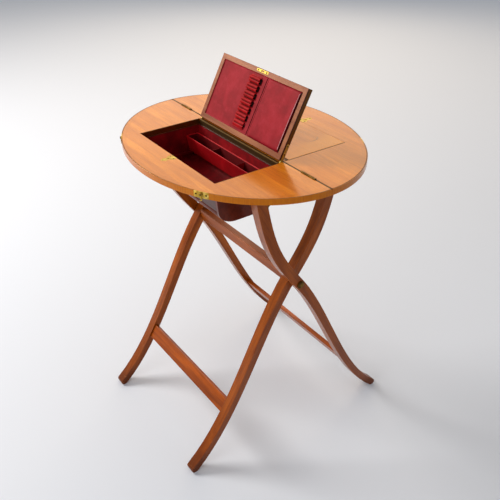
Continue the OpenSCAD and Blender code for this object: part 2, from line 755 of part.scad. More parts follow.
// Front lid, standing open
module front_lid_pins() { color("darkgoldenrod") front() lid_pins(); }
module front_lid_panel() { color("goldenrod") front() open_lid() lid_panel(); }
module front_lid_frame() { color("saddlebrown") front() open_lid() lid_frame(); }
module front_lid_leather() { color("firebrick") front() open_lid() lid_leather(); }
module pen_loops() { color("crimson") front() open_lid() loops(); }
module letter_wallet() { color("firebrick") front() open_lid() wallet(); }
module front_lid_strike() { color("gold") front() open_lid() lid_strike(); }
module front_lid_straps() { color("gold") front() open_lid() lid_straps(); }

// Pen tray
module pen_tray() { color("firebrick") front() tray(); }
module tray_dividers() { color("firebrick") front() dividers(); }

// Rear leaf, with its lid closed
module rear_board() { color("goldenrod") leaf_board(); }
module rear_well_walls() { color("saddlebrown") well_walls(); }
module rear_well_ends() { color("saddlebrown") well_ends(); }
module rear_well_floor() { color("sienna") well_floor(); }
module rear_well_lining() { color("darkred") well_lining(); }
module rear_escutcheon() { color("gold") escutcheon(); }
module rear_lock_case() { color("gold") lock_case(); }
module rear_lock_plate() { color("gold") lock_plate(); }
module rear_lock_bolt() { color("silver") lock_bolt(); }
module fold_hinge_rear_plates() { color("gold") fold_hinge_plates([1], [0, 2]); }
module keeper_plates() { color("gold") rim_plates(); }
module keeper_studs() { color("darkgoldenrod") both_ends() keeper_stud(); }
module inner_hinge_plates() { color("gold") both_ends() front() leg_board_plate(inner_in, inner_out); }
module rear_lid_pins() { color("darkgoldenrod") lid_pins(); }
module rear_lid_panel() { color("goldenrod") lid_panel(); }
module rear_lid_frame() { color("saddlebrown") lid_frame(); }
module rear_lid_leather() { color("firebrick") lid_leather(); }
module rear_lid_strike() { color("gold") lid_strike(); }
module rear_lid_straps() { color("gold") lid_straps(); }

// Outer frame, hinged to the front leaf
module outer_leg_right() { color("sienna") outer_leg(); }
module outer_leg_left() { color("sienna") mirror([1, 0, 0]) outer_leg(); }
module outer_stretcher() { color("peru") stretcher(outer_in); }
module outer_leg_plates() { color("gold") both_ends() leg_plate(outer_in, leg_x); }
module pivot_bolts() {
    color("gold") both_ends() {
        bar_x(inner_out + seat_gap, leg_x, 0, pivot_height, shank_r);
        bar_x(leg_x, leg_x + 2.2, 0, pivot_height, bolt_head_r);
        bar_x(leg_x + 2.2, leg_x + 3, 0, pivot_height, bolt_head_r - 1.4);
    }
}
module pivot_washers() {
    color("darkgoldenrod") both_ends() difference() {
        bar_x(inner_out + seat_gap, outer_in, 0, pivot_height, bolt_head_r);
        bar_x(inner_out, outer_in + cut, 0, pivot_height, shank_r);
    }
}

// Inner frame, hinged to the rear leaf
module inner_leg_right() { color("sienna") inner_leg(); }
module inner_leg_left() { color("sienna") mirror([1, 0, 0]) inner_leg(); }
module inner_stretcher() { color("peru") front() stretcher(inner_in); }
module pivot_rail() {
    color("sienna") {
        along_x(-inner_in, inner_in) rail_section(pivot_rail_w, pivot_rail_h);
        both_ends() along_x(inner_in, inner_in + tenon_l) rail_tenon();
    }
}
module inner_leg_plates() { color("gold") both_ends() front() leg_plate(inner_in, inner_out); }
module pivot_bushes() {
    color("gold") both_ends() difference() {
        bar_x(inner_in + tenon_l, inner_out, 0, pivot_height, bush_r);
        bar_x(inner_in, inner_out + cut, 0, pivot_height, shank_r + pin_gap);
    }
}

front_board();
front_well_walls();
front_well_ends();
front_well_floor();
front_well_lining();
tray_runners();
front_escutcheon();
front_lock_case();
front_lock_plate();
front_lock_bolt();
fold_hinge_front_plates();
fold_hinge_pins();
catch_plates();
catch_pivots();
catch_hook_left();
catch_hook_right();
outer_hinge_plates();
front_lid_pins();
front_lid_panel();
front_lid_frame();
front_lid_leather();
pen_loops();
letter_wallet();
front_lid_strike();
front_lid_straps();
pen_tray();
tray_dividers();
rear_board();
rear_well_walls();
rear_well_ends();
rear_well_floor();
rear_well_lining();
rear_escutcheon();
rear_lock_case();
rear_lock_plate();
rear_lock_bolt();
fold_hinge_rear_plates();
keeper_plates();
keeper_studs();
inner_hinge_plates();
rear_lid_pins();
rear_lid_panel();
rear_lid_frame();
rear_lid_leather();
rear_lid_strike();
rear_lid_straps();
outer_leg_left();
outer_leg_right();
outer_stretcher();
outer_leg_plates();
pivot_bolts();
pivot_washers();
inner_leg_left();
inner_leg_right();
inner_stretcher();
pivot_rail();
inner_leg_plates();
pivot_bushes();
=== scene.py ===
import json
import math
import bmesh
import bpy
from mathutils import Matrix, Vector, noise


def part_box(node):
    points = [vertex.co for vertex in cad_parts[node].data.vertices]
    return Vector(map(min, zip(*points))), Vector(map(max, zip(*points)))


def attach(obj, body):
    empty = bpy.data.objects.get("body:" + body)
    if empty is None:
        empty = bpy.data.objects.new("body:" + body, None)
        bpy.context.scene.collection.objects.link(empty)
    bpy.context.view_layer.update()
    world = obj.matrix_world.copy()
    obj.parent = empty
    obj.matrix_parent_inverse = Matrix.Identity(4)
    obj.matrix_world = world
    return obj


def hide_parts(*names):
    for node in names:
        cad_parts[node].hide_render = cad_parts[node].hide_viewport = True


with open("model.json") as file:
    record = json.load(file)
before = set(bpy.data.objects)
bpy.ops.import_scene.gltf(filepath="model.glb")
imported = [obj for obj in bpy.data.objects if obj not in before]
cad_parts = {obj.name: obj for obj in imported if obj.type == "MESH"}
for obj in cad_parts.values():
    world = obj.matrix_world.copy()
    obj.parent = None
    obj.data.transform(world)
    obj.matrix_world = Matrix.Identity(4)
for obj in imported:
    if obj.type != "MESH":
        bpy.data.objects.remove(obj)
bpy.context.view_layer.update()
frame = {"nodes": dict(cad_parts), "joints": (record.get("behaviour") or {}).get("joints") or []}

mm = 0.001
print("frame loaded:", len(frame["nodes"]), "nodes")


# Colours and shader maths

def paint(code):
    # "#rrggbb" as the linear colour that Blender's sockets take
    parts = [int(code[i:i + 2], 16) / 255 for i in (1, 3, 5)]
    return [c / 12.92 if c <= 0.04045 else ((c + 0.055) / 1.055) ** 2.4 for c in parts] + [1.0]


class Wire:
    # an output socket that can stand in a Python expression
    def __init__(self, finish, socket):
        self.finish = finish
        self.socket = socket

    def calc(self, operation, a, b, clamp=False):
        return self.finish.add("Math", {"operation": operation, "use_clamp": clamp}, {0: a, 1: b})

    def __add__(self, other):
        return self.calc("ADD", self, other)

    def __radd__(self, other):
        return self.calc("ADD", other, self)

    def __sub__(self, other):
        return self.calc("SUBTRACT", self, other)

    def __rsub__(self, other):
        return self.calc("SUBTRACT", other, self)

    def __mul__(self, other):
        return self.calc("MULTIPLY", self, other)

    def __rmul__(self, other):
        return self.calc("MULTIPLY", other, self)

    def __truediv__(self, other):
        return self.calc("DIVIDE", self, other)

    def __rtruediv__(self, other):
        return self.calc("DIVIDE", other, self)

    def __abs__(self):
        return self.calc("ABSOLUTE", self, 0)

    def __lt__(self, limit):
        return self.calc("LESS_THAN", self, limit)

    def __gt__(self, limit):
        return self.calc("GREATER_THAN", self, limit)

    def limited(self):
        # kept between 0 and 1
        return self.calc("ADD", self, 0, True)

    def root(self):
        return self.calc("SQRT", self, 0)


class Finish:
    # one material: a Principled shader, its constants, and what varies over the surface
    def __init__(self, name, constants):
        self.material = bpy.data.materials.new(name)
        self.material.use_nodes = True
        self.tree = self.material.node_tree
        self.shader = self.tree.nodes["Principled BSDF"]
        for socket, value in constants.items():
            self.shader.inputs[socket].default_value = value

    def add(self, kind, settings, values, out=0):
        node = self.tree.nodes.new("ShaderNode" + kind)
        for key, value in settings.items():
            setattr(node, key, value)
        for key, value in values.items():
            if isinstance(value, Wire):
                self.tree.links.new(value.socket, node.inputs[key])
            else:
                node.inputs[key].default_value = value
        return Wire(self, node.outputs[out])

    def place(self):
        # the point in the piece's own space, in metres
        return self.add("TexCoord", {}, {}, 3)

    def parts(self, vector):
        split = self.add("SeparateXYZ", {}, {0: vector})
        return [Wire(self, socket) for socket in split.socket.node.outputs]

    def along(self, vector, direction):
        # how far the point lies along a direction
        return self.add("VectorMath", {"operation": "DOT_PRODUCT"}, {0: vector, 1: direction}, 1)

    def scaled(self, vector, scale):
        # by one number, or by one for each axis
        sizes = scale if isinstance(scale, tuple) else (scale, scale, scale)
        return self.add("VectorMath", {"operation": "MULTIPLY"}, {0: vector, 1: sizes})

    def shifted(self, vector, other):
        return self.add("VectorMath", {"operation": "ADD"}, {0: vector, 1: other})

    def turned(self, vector, angles):
        return self.add("Mapping", {}, {0: vector, 2: [math.radians(a) for a in angles]})

    def noise(self, vector, detail, roughness, twist=0.0):
        values = {"Vector": vector, "Scale": 1.0, "Detail": detail}
        values.update({"Roughness": roughness, "Distortion": twist})
        return self.add("TexNoise", {}, values)

    def cells(self, vector):
        return self.add("TexVoronoi", {"feature": "SMOOTH_F1"}, {"Vector": vector, "Scale": 1.0})

    def rise(self, value, low, high):
        # 0 below low, 1 above high, straight in between
        return self.add("MapRange", {"clamp": True}, {0: value, 1: low, 2: high, 3: 0.0, 4: 1.0})

    def mix(self, factor, a, b):
        # the colour a where the factor is 0, b where it is 1
        return self.add("Mix", {"data_type": "RGBA"}, {0: factor, 6: a, 7: b}, 2)

    def feed(self, socket, wire):
        self.tree.links.new(wire.socket, self.shader.inputs[socket])

    def done(self, tone, rough, height, depth, strength):
        # colour, roughness and relief, then the material itself
        relief = self.add("Bump", {}, {"Strength": strength, "Distance": depth, "Height": height})
        for socket, wire in (("Base Color", tone), ("Roughness", rough), ("Normal", relief)):
            self.feed(socket, wire)
        return self.material


# Places on the two lids

def jointNamed(name):
    return next(joint for joint in frame["joints"] if joint["name"] == name)


lidLow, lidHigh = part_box("rear_lid_frame")
leatherLow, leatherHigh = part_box("rear_lid_leather")
lidPlace = {
    "back": lidLow.y, "inside": lidLow.z, "halfLength": lidHigh.x, "depth": lidHigh.y - lidLow.y,
    "frameWidth": lidHigh.x - leatherHigh.x, "leatherSink": leatherLow.z - lidLow.z, "clearance": 0.3 * mm,
    "pivot": Vector(jointNamed("rear_lid_hinge")["pos_m"]),
    "angle": math.radians(jointNamed("front_lid_follow")["range_deg"][1]),
}


def onLid(u, v, w, opened=True):
    # u along the lid, v from its back edge, w out of its inner face, all in metres
    y = lidPlace["back"] + v - lidPlace["pivot"].y
    z = lidPlace["inside"] - w - lidPlace["pivot"].z
    if not opened:
        return Vector((u, y + lidPlace["pivot"].y, z + lidPlace["pivot"].z))
    c, s = math.cos(lidPlace["angle"]), math.sin(lidPlace["angle"])
    return Vector((u, -(y * c - z * s + lidPlace["pivot"].y), y * s + z * c + lidPlace["pivot"].z))


def lidOut(opened=True):
    return (onLid(0, 0, 1, opened) - onLid(0, 0, 0, opened)).normalized()


def lidWay(opened):
    # the direction from a lid's back edge to its free edge
    return (onLid(0, 1, 0, opened) - onLid(0, 0, 0, opened)).normalized()


def lidStart(opened):
    # how far along that direction the lid's back edge lies
    return onLid(0, 0, 0, opened).dot(lidWay(opened))


# Wood

topLook = {
    "light": "#f89626", "middle": "#e67c10", "dark": "#b65406", "pore": "#783204", "cloud": "#bc6414",
    # the third colour on the next line is near-black painted shade, for the well's cut edges, the fold, the
    # gaps at the lids' ends and the back rails
    "edgeBand": "#c87006", "string": "#3c1806", "paintedShade": "#180a05", "under": "#6b3518",
    # the first colour on the next line is the lids' sides in very dark mahogany, also painted as shade on
    # the top at the lids' end gaps
    "lidSideAndGapShade": "#2c0f08", "glow": "#ffa320", "arc": "#7c4a24",
    # after the band and the string come widths of painted shade: the open lid's shadow on the back rail,
    # and the gaps at the lids' ends and at the fold
    "bandWidth": 11 * mm, "stringInset": 1.3 * mm, "stringWidth": 0.9 * mm, "railShade": 6.5 * mm,
    "lidEndShade": 1.2 * mm, "foldShade": 2.3 * mm, "endShade": 1.8 * mm,
    "curl": (85 * mm, 122 * mm, 22 * mm),  # x, y and radius of the curl in the rear lid's veneer
    "gloss": 0.16, "rough": 0.13,
    "shader": {"Coat Roughness": 0.06, "Coat IOR": 1.5, "Specular IOR Level": 1.0,
               "Specular Tint": paint("#ffca62")},
}
boardLow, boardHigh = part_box("rear_board")
topSize = {
    "a": boardHigh.x, "b": boardHigh.y, "top": boardHigh.z, "under": boardLow.z,
    "openX": lidHigh.x + lidPlace["clearance"],
    "openNear": lidLow.y - lidPlace["clearance"], "openFar": lidHigh.y + lidPlace["clearance"],
}


# marks to the metre, along and across the grain, then the noise's detail, roughness and twist
grainLook = {
    "figure": (4, 34, 3, 0.55, 0.4), "band": (5, 115, 4, 0.65, 0.3), "streak": (11, 330, 3, 0.6, 0),
    "pore": (120, 2300, 1, 0.4, 0),
    "sway": 12 * mm,  # how far the grain swings sideways
}


def grainNoise(finish, vector, kind, scale):
    along, across, detail, roughness, twist = grainLook[kind]
    scaled = finish.scaled(vector, (along * scale, across * scale, across * scale))
    return finish.noise(scaled, detail, roughness, twist)


def woodGrain(finish, vector, look, scale, seed):
    # figure, bands, streaks and pores, with the grain along the vector's X
    p = finish.shifted(vector, (seed, seed * 0.7, seed * 1.3))
    sway = finish.noise(finish.scaled(p, (5, 9, 9)), 2, 0.5)
    sideways = finish.add("CombineXYZ", {}, {1: sway, 2: sway})
    swayed = finish.shifted(p, finish.scaled(sideways, (0, grainLook["sway"], grainLook["sway"])))
    figure = grainNoise(finish, swayed, "figure", scale)
    streak = grainNoise(finish, swayed, "streak", scale)
    pores = finish.rise(grainNoise(finish, swayed, "pore", scale), 0.60, 0.72)
    band = grainNoise(finish, swayed, "band", scale)
    tone = finish.mix(finish.rise(figure, 0.30, 0.70), paint(look["dark"]), paint(look["light"]))
    tone = finish.mix(finish.rise(streak, 0.25, 0.75) * 0.55, tone, paint(look["middle"]))
    tone = finish.mix(finish.rise(band, 0.48, 0.60) * 0.42, tone, paint(look["dark"]))
    tone = finish.mix(finish.rise(streak, 0.58, 0.76) * 0.45, tone, paint(look["dark"]))
    tone = finish.mix(pores * 0.45, tone, paint(look["pore"]))
    height = streak * 0.5 + figure * 0.3 - pores * 0.9
    return tone, height, pores


def ovalRadius(x, y):
    # 1 on the rim of the oval top and 0 at its middle
    return (x * x / topSize["a"] ** 2 + y * y / topSize["b"] ** 2).root()


def roundTheRim(finish, x, y, z):
    # the angle round the oval, as a length, so that a pattern can cross the rim
    angle = finish.add("Math", {"operation": "ARCTAN2"}, {0: y * (topSize["a"] / topSize["b"]), 1: x})
    return finish.add("CombineXYZ", {}, {0: angle * topSize["a"], 1: z, 2: 0.0})


def boardTone(finish, place, tone):
    # banding and string at the rim; painted shade in the well's cut edges, as wide dark lines along the
    # fold and the gaps at the lids' ends, and as a band along each well's back rail for the open lid's
    # shadow; returned with where these lie
    x, y, z = place
    bleed = 0.6 * mm  # how far the painted shade runs past its line
    rim = (1 - ovalRadius(x, y)) * topSize["b"]
    onTop = z > topSize["top"] - 0.4 * mm
    onSide = (1 - onTop) * (rim < 0.9 * mm)
    cross = finish.noise(finish.scaled(roundTheRim(finish, x, y, z), (420, 8, 30)), 3, 0.6)
    banding = finish.mix(finish.rise(cross, 0.3, 0.7), paint(topLook["dark"]), paint(topLook["edgeBand"]))
    tone = finish.mix((rim < topLook["bandWidth"]) * 0.35, tone, banding)
    string = (abs(rim - topLook["stringInset"]) < topLook["stringWidth"]) * onTop
    tone = finish.mix(string * 0.85, tone, paint(topLook["string"]))
    tone = finish.mix(onSide * 0.75, tone, banding)
    # painted shade: wide dark lines for the gap at the fold and for the gaps at the lids' ends
    fold = (abs(y) < topLook["foldShade"]) * onTop
    atEnds = onTop * (abs(abs(x) - topSize["openX"]) < topLook["endShade"])
    ends = atEnds * (abs(y) > topSize["openNear"]) * (abs(y) < topSize["openFar"])
    # painted shadow of the open lid: a dark band along each well's back rail
    halfRail = topLook["railShade"] / 2
    atRail = abs(abs(y) - topSize["openNear"] + halfRail) < halfRail + bleed
    shadeLines = (fold + ends + (abs(x) < topSize["openX"]) * atRail).limited()
    tone = finish.mix(shadeLines * 0.92, tone, paint(topLook["paintedShade"]))
    # painted shade darkens the board's cut edges inside the well opening
    wellShade = (abs(x) < topSize["openX"] + bleed) * (abs(y) > topSize["openNear"] - bleed)
    wellShade = wellShade * (abs(y) < topSize["openFar"] + bleed) * (z < topSize["top"] - 0.7 * mm)
    tone = finish.mix(wellShade * 0.9, tone, paint(topLook["paintedShade"]))
    tone = finish.mix((z < topSize["under"] + 0.3 * mm) * 0.85, tone, paint(topLook["under"]))
    return tone, onSide, string, shadeLines


def veneerCurl(finish, x, y, cloud, tone):
    # the curl in the veneer of the rear lid
    centreX, centreY, radius = topLook["curl"]
    dx, dy = x - centreX, y - centreY
    away = (dx * dx + dy * dy).root() + cloud * (6 * mm) - 3 * mm
    glow = finish.rise(away, radius, radius + 6 * mm) * finish.rise(dx, 0.0, 30 * mm)
    tone = finish.mix(glow * 0.55, tone, paint(topLook["glow"]))
    arc = (1 - finish.rise(abs(away - radius), 0.4 * mm, 2.6 * mm)) * finish.rise(dx, 4 * mm, 14 * mm)
    arc = arc * finish.rise(dy, -10 * mm, -2 * mm)
    return finish.mix(arc * 0.6, tone, paint(topLook["arc"]))


def lidSides(finish, p, opened, atEnds, atEdges):
    # 1 on the four outer sides of a lid
    x = finish.parts(p)[0]
    v = finish.along(p, lidWay(opened)) - lidStart(opened)
    middle = lidPlace["depth"] / 2
    return ((abs(x) > lidPlace["halfLength"] - atEnds) + (abs(v - middle) > middle - atEdges)).limited()


def topFinish(name, onBoard, seed, opened=False):
    # the glossy satinwood of the boards and the lids
    finish = Finish(name, topLook["shader"])
    p = finish.place()
    x, y, z = finish.parts(p)
    tone, height, pores = woodGrain(finish, p, topLook, 1.0, seed)
    cloud = finish.noise(finish.scaled(p, (7, 11, 11)), 3, 0.55)
    tone = finish.mix(finish.rise(cloud, 0.35, 0.75) * 0.35, tone, paint(topLook["cloud"]))
    gloss = pores * -0.2 + topLook["gloss"]
    rough = pores * 0.12 + cloud * 0.04 + topLook["rough"]
    if onBoard:
        tone, onSide, string, shadeLines = boardTone(finish, (x, y, z), tone)
        gloss = gloss * (1 - shadeLines * 0.9) * (1 - onSide * 0.6) * (1 - string * 0.8)
        rough = rough + shadeLines * 0.4 + string * 0.4
    else:
        # very dark mahogany on the lid's sides; at its ends the band runs wider onto the top as painted
        # shade of the gap round the lid
        sides = lidSides(finish, p, opened, topLook["lidEndShade"], 0.6 * mm)
        gloss = gloss * (1 - sides * 0.8)
        rough = rough + sides * 0.4
        tone = finish.mix(sides * 0.9, tone, paint(topLook["lidSideAndGapShade"]))
    if not onBoard and not opened:
        tone = veneerCurl(finish, x, y, cloud, tone)
    finish.feed("Coat Weight", gloss)
    return finish.done(tone, rough, height, 0.06 * mm, 0.6)


mahoganyLook = {
    "light": "#b4744e", "middle": "#a0603c", "dark": "#743c24", "pore": "#421c10",
    "shader": {"Coat Weight": 0.1, "Coat Roughness": 0.25, "Specular Tint": paint("#ffb088")},
}
wellLook = {
    "light": "#66301e", "middle": "#522214", "dark": "#3a140b", "pore": "#1e0905",
    "shader": {"Coat Weight": 0.05, "Coat Roughness": 0.3},
}
boxLook = {
    "light": "#7c2a14", "middle": "#64200e", "dark": "#421006", "pore": "#200802",
    "shader": {"Coat Weight": 0.25, "Coat Roughness": 0.15, "Specular Tint": paint("#ff8050")},
}
legLook = {
    "light": "#ba6018", "middle": "#98460c", "dark": "#682a06", "pore": "#361202",
    "foot": "#1d0d07", "scuffed": "#b57a4c", "lean": 29.6,
    "shader": {"Coat Weight": 0.2, "Coat Roughness": 0.15, "Specular IOR Level": 0.6,
               "Specular Tint": paint("#ff9048")},
}
stretcherLook = {
    "light": "#be5a0c", "middle": "#a04606", "dark": "#6e2c04", "pore": "#3c1602",
    "shader": {"Coat Weight": 0.15, "Coat Roughness": 0.2, "Specular IOR Level": 0.6,
               "Specular Tint": paint("#ff9048")},
}


def plainWood(name, look, scale, seed, rough):
    # wood with its grain along the table's length
    finish = Finish(name, look["shader"])
    p = finish.place()
    tone, height, pores = woodGrain(finish, p, look, scale, seed)
    cloud = finish.noise(finish.scaled(p, 14), 3, 0.6)
    tone = finish.mix(finish.rise(cloud, 0.45, 0.85) * 0.4, tone, paint(look["dark"]))
    return finish.done(tone, rough + pores * 0.15 + cloud * 0.1, height, 0.07 * mm, 0.7)


def lidFrameFinish(name, opened):
    # the frame's mahogany, dark on the lid's outer sides
    finish = Finish(name, mahoganyLook["shader"])
    p = finish.place()
    tone, height, pores = woodGrain(finish, p, mahoganyLook, 1.2, 1.7)
    sides = lidSides(finish, p, opened, 0.4 * mm, 0.4 * mm)
    tone = finish.mix(sides * 0.9, tone, paint(topLook["lidSideAndGapShade"]))
    return finish.done(tone, 0.42 + pores * 0.15, height, 0.07 * mm, 0.7)


def legFinish(name, lean, seed):
    # the grain runs along the leg, which is darker and worn at its foot
    finish = Finish(name, legLook["shader"])
    p = finish.place()
    z = finish.parts(p)[2]
    tone, height, pores = woodGrain(finish, finish.turned(p, (lean, 90, 0)), legLook, 1.3, seed)
    scuff = finish.noise(finish.scaled(p, (60, 60, 90)), 4, 0.65)
    foot = finish.rise(40 * mm - z + scuff * (22 * mm), 0.0, 30 * mm)
    tone = finish.mix(foot * 0.7, tone, paint(legLook["foot"]))
    tone = finish.mix(finish.rise(300 * mm - z, 0.0, 260 * mm) * 0.45, tone, paint(legLook["dark"]))
    worn = finish.rise(scuff, 0.62, 0.74) * finish.rise(200 * mm - z, 0.0, 150 * mm)
    tone = finish.mix(worn * 0.5, tone, paint(legLook["scuffed"]))
    return finish.done(tone, 0.30 + pores * 0.15 + foot * 0.3, height, 0.07 * mm, 0.7)


# Leather, metal and thread

liningLook = {
    "raised": 7 * mm, "darkRim": 0.5 * mm, "spread": 0.95 * mm, "endShare": 0.9,
    "levels": (0.3 * mm, 3 * mm), "still": 3.5 * mm, "straight": 146 * mm,
    "waves": 0.18 * mm, "waveSize": 16 * mm, "cut": 7 * mm,
}
leatherSkin = {"tint": "#ffb0a8", "blotch": 16, "mottle": 75, "crease": 260, "grain": 900}
leatherLook = {
    "lid": {"base": "#a41222", "pale": "#b02a38", "deep": "#840c1a", "worn": "#bc4450", "rough": 0.56},
    "strap": {"base": "#c40c16", "pale": "#d42024", "deep": "#8c080e", "worn": "#e04440", "rough": 0.46,
              "shine": 0.2},
    # a pale pink leather whose colour is a painted highlight, for the wallet's mouth
    "edge": {"base": "#e6b4b4", "pale": "#f2cccc", "deep": "#c88a8c", "worn": "#f6dcdc", "rough": 0.35},
    "well": {"base": "#900a14", "pale": "#ac101a", "deep": "#5c050a", "worn": "#b82a2e", "rough": 0.5,
             "shine": 0.25, "rim": "#24120c"},
    # near-black leather used as painted shade
    "shade": {"base": "#1a0304", "pale": "#260506", "deep": "#0c0102", "worn": "#300608", "rough": 0.7},
    "tray": {"base": "#cc0a18", "pale": "#dc1a26", "deep": "#a20612", "worn": "#dc8080", "rough": 0.42,
             # the next colour paints the shade inside the tray
             "inside": "#2a0205"},
}


def trayInsideShade(finish, place):
    # 1 on the faces of the tray that look inwards or up, below its rim, where painted shade darkens it
    low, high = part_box("pen_tray")
    facing = finish.add("TexCoord", {}, {}, 1)
    outwards = finish.scaled(finish.shifted(place, -(low + high) / 2), (0.2, 1, 0))
    inwards = finish.along(facing, outwards) < 0
    upwards = finish.parts(facing)[2] > 0.7
    return (inwards + upwards).limited() * (finish.parts(place)[2] < high.z - 0.8 * mm)


def leatherFinish(name, kind, seed=0.0):
    look = leatherLook[kind]
    shine = look.get("shine", 0.4)
    finish = Finish(name, {"Specular IOR Level": shine, "Specular Tint": paint(leatherSkin["tint"])})
    place = finish.place()
    p = finish.shifted(place, (seed, seed, seed))
    blotch = finish.noise(finish.scaled(p, leatherSkin["blotch"]), 4, 0.6, 0.3)
    mottle = finish.noise(finish.scaled(p, leatherSkin["mottle"]), 3, 0.6)
    crease = finish.noise(finish.scaled(p, leatherSkin["crease"]), 3, 0.6)
    grain = finish.cells(finish.scaled(p, leatherSkin["grain"]))
    tone = finish.mix(finish.rise(blotch, 0.32, 0.68), paint(look["deep"]), paint(look["base"]))
    tone = finish.mix(finish.rise(blotch * 0.5 + mottle * 0.5, 0.48, 0.72) * 0.8, tone, paint(look["pale"]))
    tone = finish.mix(finish.rise(mottle, 0.66, 0.78) * 0.25, tone, paint(look["worn"]))
    tone = finish.mix(finish.rise(grain, 0.25, 0.7) * 0.25, tone, paint(look["deep"]))
    if kind == "tray":
        # painted shade inside the tray
        tone = finish.mix(trayInsideShade(finish, place) * 0.8, tone, paint(look["inside"]))
    if kind == "well":
        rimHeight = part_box("front_well_lining")[1].z + liningLook["raised"] - liningLook["darkRim"]
        tone = finish.mix((finish.parts(place)[2] > rimHeight) * 0.85, tone, paint(look["rim"]))
    rough = look["rough"] + grain * 0.16 + mottle * 0.08
    return finish.done(tone, rough, grain * -0.6 + crease * 0.8, 0.10 * mm, 0.8)


metalLook = {
    "brass": {"base": "#d8b450", "bright": "#f2da86", "dull": "#a8842e", "rough": 0.3},
    "brightBrass": {"base": "#d8be5e", "bright": "#ecd98c", "dull": "#b89a48", "rough": 0.36},
    "oldBrass": {"base": "#a8853a", "bright": "#cfae5c", "dull": "#4c3814", "rough": 0.36},
    "hingeBrass": {"base": "#7a5a28", "bright": "#b08c48", "dull": "#4a3414", "rough": 0.4},
    # near-black brass: dark patina, darkened further as painted shade in the screws' holes and slots and in
    # the recess round the pivot washers
    "darkBrass": {"base": "#1e160a", "bright": "#4a3818", "dull": "#0c0803", "rough": 0.5},
    "steel": {"base": "#8f9094", "bright": "#c2c4c8", "dull": "#4b4a4a", "rough": 0.3},
}


def metalFinish(name, kind):
    look = metalLook[kind]
    finish = Finish(name, {"Metallic": 1.0})
    p = finish.place()
    tarnish = finish.noise(finish.scaled(p, 110), 4, 0.6, 0.5)
    brushed = finish.noise(finish.scaled(p, (300, 3000, 3000)), 2, 0.5)
    specks = finish.rise(finish.noise(finish.scaled(p, 1500), 2, 0.5), 0.66, 0.74)
    tone = finish.mix(finish.rise(tarnish, 0.35, 0.65), paint(look["dull"]), paint(look["base"]))
    tone = finish.mix(finish.rise(tarnish, 0.5, 0.8) * 0.8, tone, paint(look["bright"]))
    tone = finish.mix(specks * 0.5, tone, paint(look["dull"]))
    rough = look["rough"] + tarnish * 0.22 + brushed * 0.06
    return finish.done(tone, rough, brushed + specks * 0.5, 0.02 * mm, 0.5)


threadLook = {"dark": "#4a0d10", "light": "#8f2026", "twist": 2500}


def threadFinish(name):
    finish = Finish(name, {"Sheen Weight": 0.3})
    twist = finish.noise(finish.scaled(finish.place(), threadLook["twist"]), 2, 0.5)
    tone = finish.mix(finish.rise(twist, 0.35, 0.65), paint(threadLook["dark"]), paint(threadLook["light"]))
    finish.feed("Base Color", tone)
    finish.feed("Roughness", 0.6 + twist * 0.2)
    return finish.material


finishes = {
    "frontTop": topFinish("satinwoodFront", True, 0.0),
    "rearTop": topFinish("satinwoodRear", True, 3.1),
    "frontLidTop": topFinish("satinwoodFrontLid", False, 5.3, True),
    "rearLidTop": topFinish("satinwoodRearLid", False, 8.7),
    "frontLidFrame": lidFrameFinish("mahoganyFrontLidFrame", True),
    "rearLidFrame": lidFrameFinish("mahoganyRearLidFrame", False),
    "wellWood": plainWood("mahoganyWell", wellLook, 1.2, 2.9, 0.38),
    "wellOutside": plainWood("mahoganyWellOutside", boxLook, 1.0, 4.4, 0.3),
    "outerLeg": legFinish("legWoodOuter", -legLook["lean"], 0.6),
    "innerLeg": legFinish("legWoodInner", legLook["lean"], 2.2),
    "rail": plainWood("legWoodRail", legLook, 1.3, 3.3, 0.3),
    "stretcher": plainWood("stretcherWood", stretcherLook, 1.2, 1.1, 0.3),
    "lidLeather": leatherFinish("redLeatherLid", "lid"),
    "strapLeather": leatherFinish("redLeatherStraps", "strap", 1.3),
    "wellLeather": leatherFinish("redLeatherWell", "well", 2.1),
    "trayLeather": leatherFinish("redLeatherTray", "tray", 4.2),
    "brass": metalFinish("brassPolished", "brass"),
    "oldBrass": metalFinish("brassOld", "oldBrass"),
    "brightBrass": metalFinish("brassBright", "brightBrass"),
    "hingeBrass": metalFinish("brassHinge", "hingeBrass"),
    "darkBrass": metalFinish("brassPatinaAndShade", "darkBrass"),
    "highlightEdge": leatherFinish("paintedHighlightLeather", "edge", 7.7),
    "steel": metalFinish("steelBolt", "steel"),
    "shade": leatherFinish("paintedShadeLeather", "shade", 6.1),
    "thread": threadFinish("linenThread"),
}
print("finishes made:", len(finishes))


# CAD nodes that keep their shape: material and softened edges
# (a finish and the width of the rounded edges in mm, where 0 leaves them sharp: the nodes that have both)

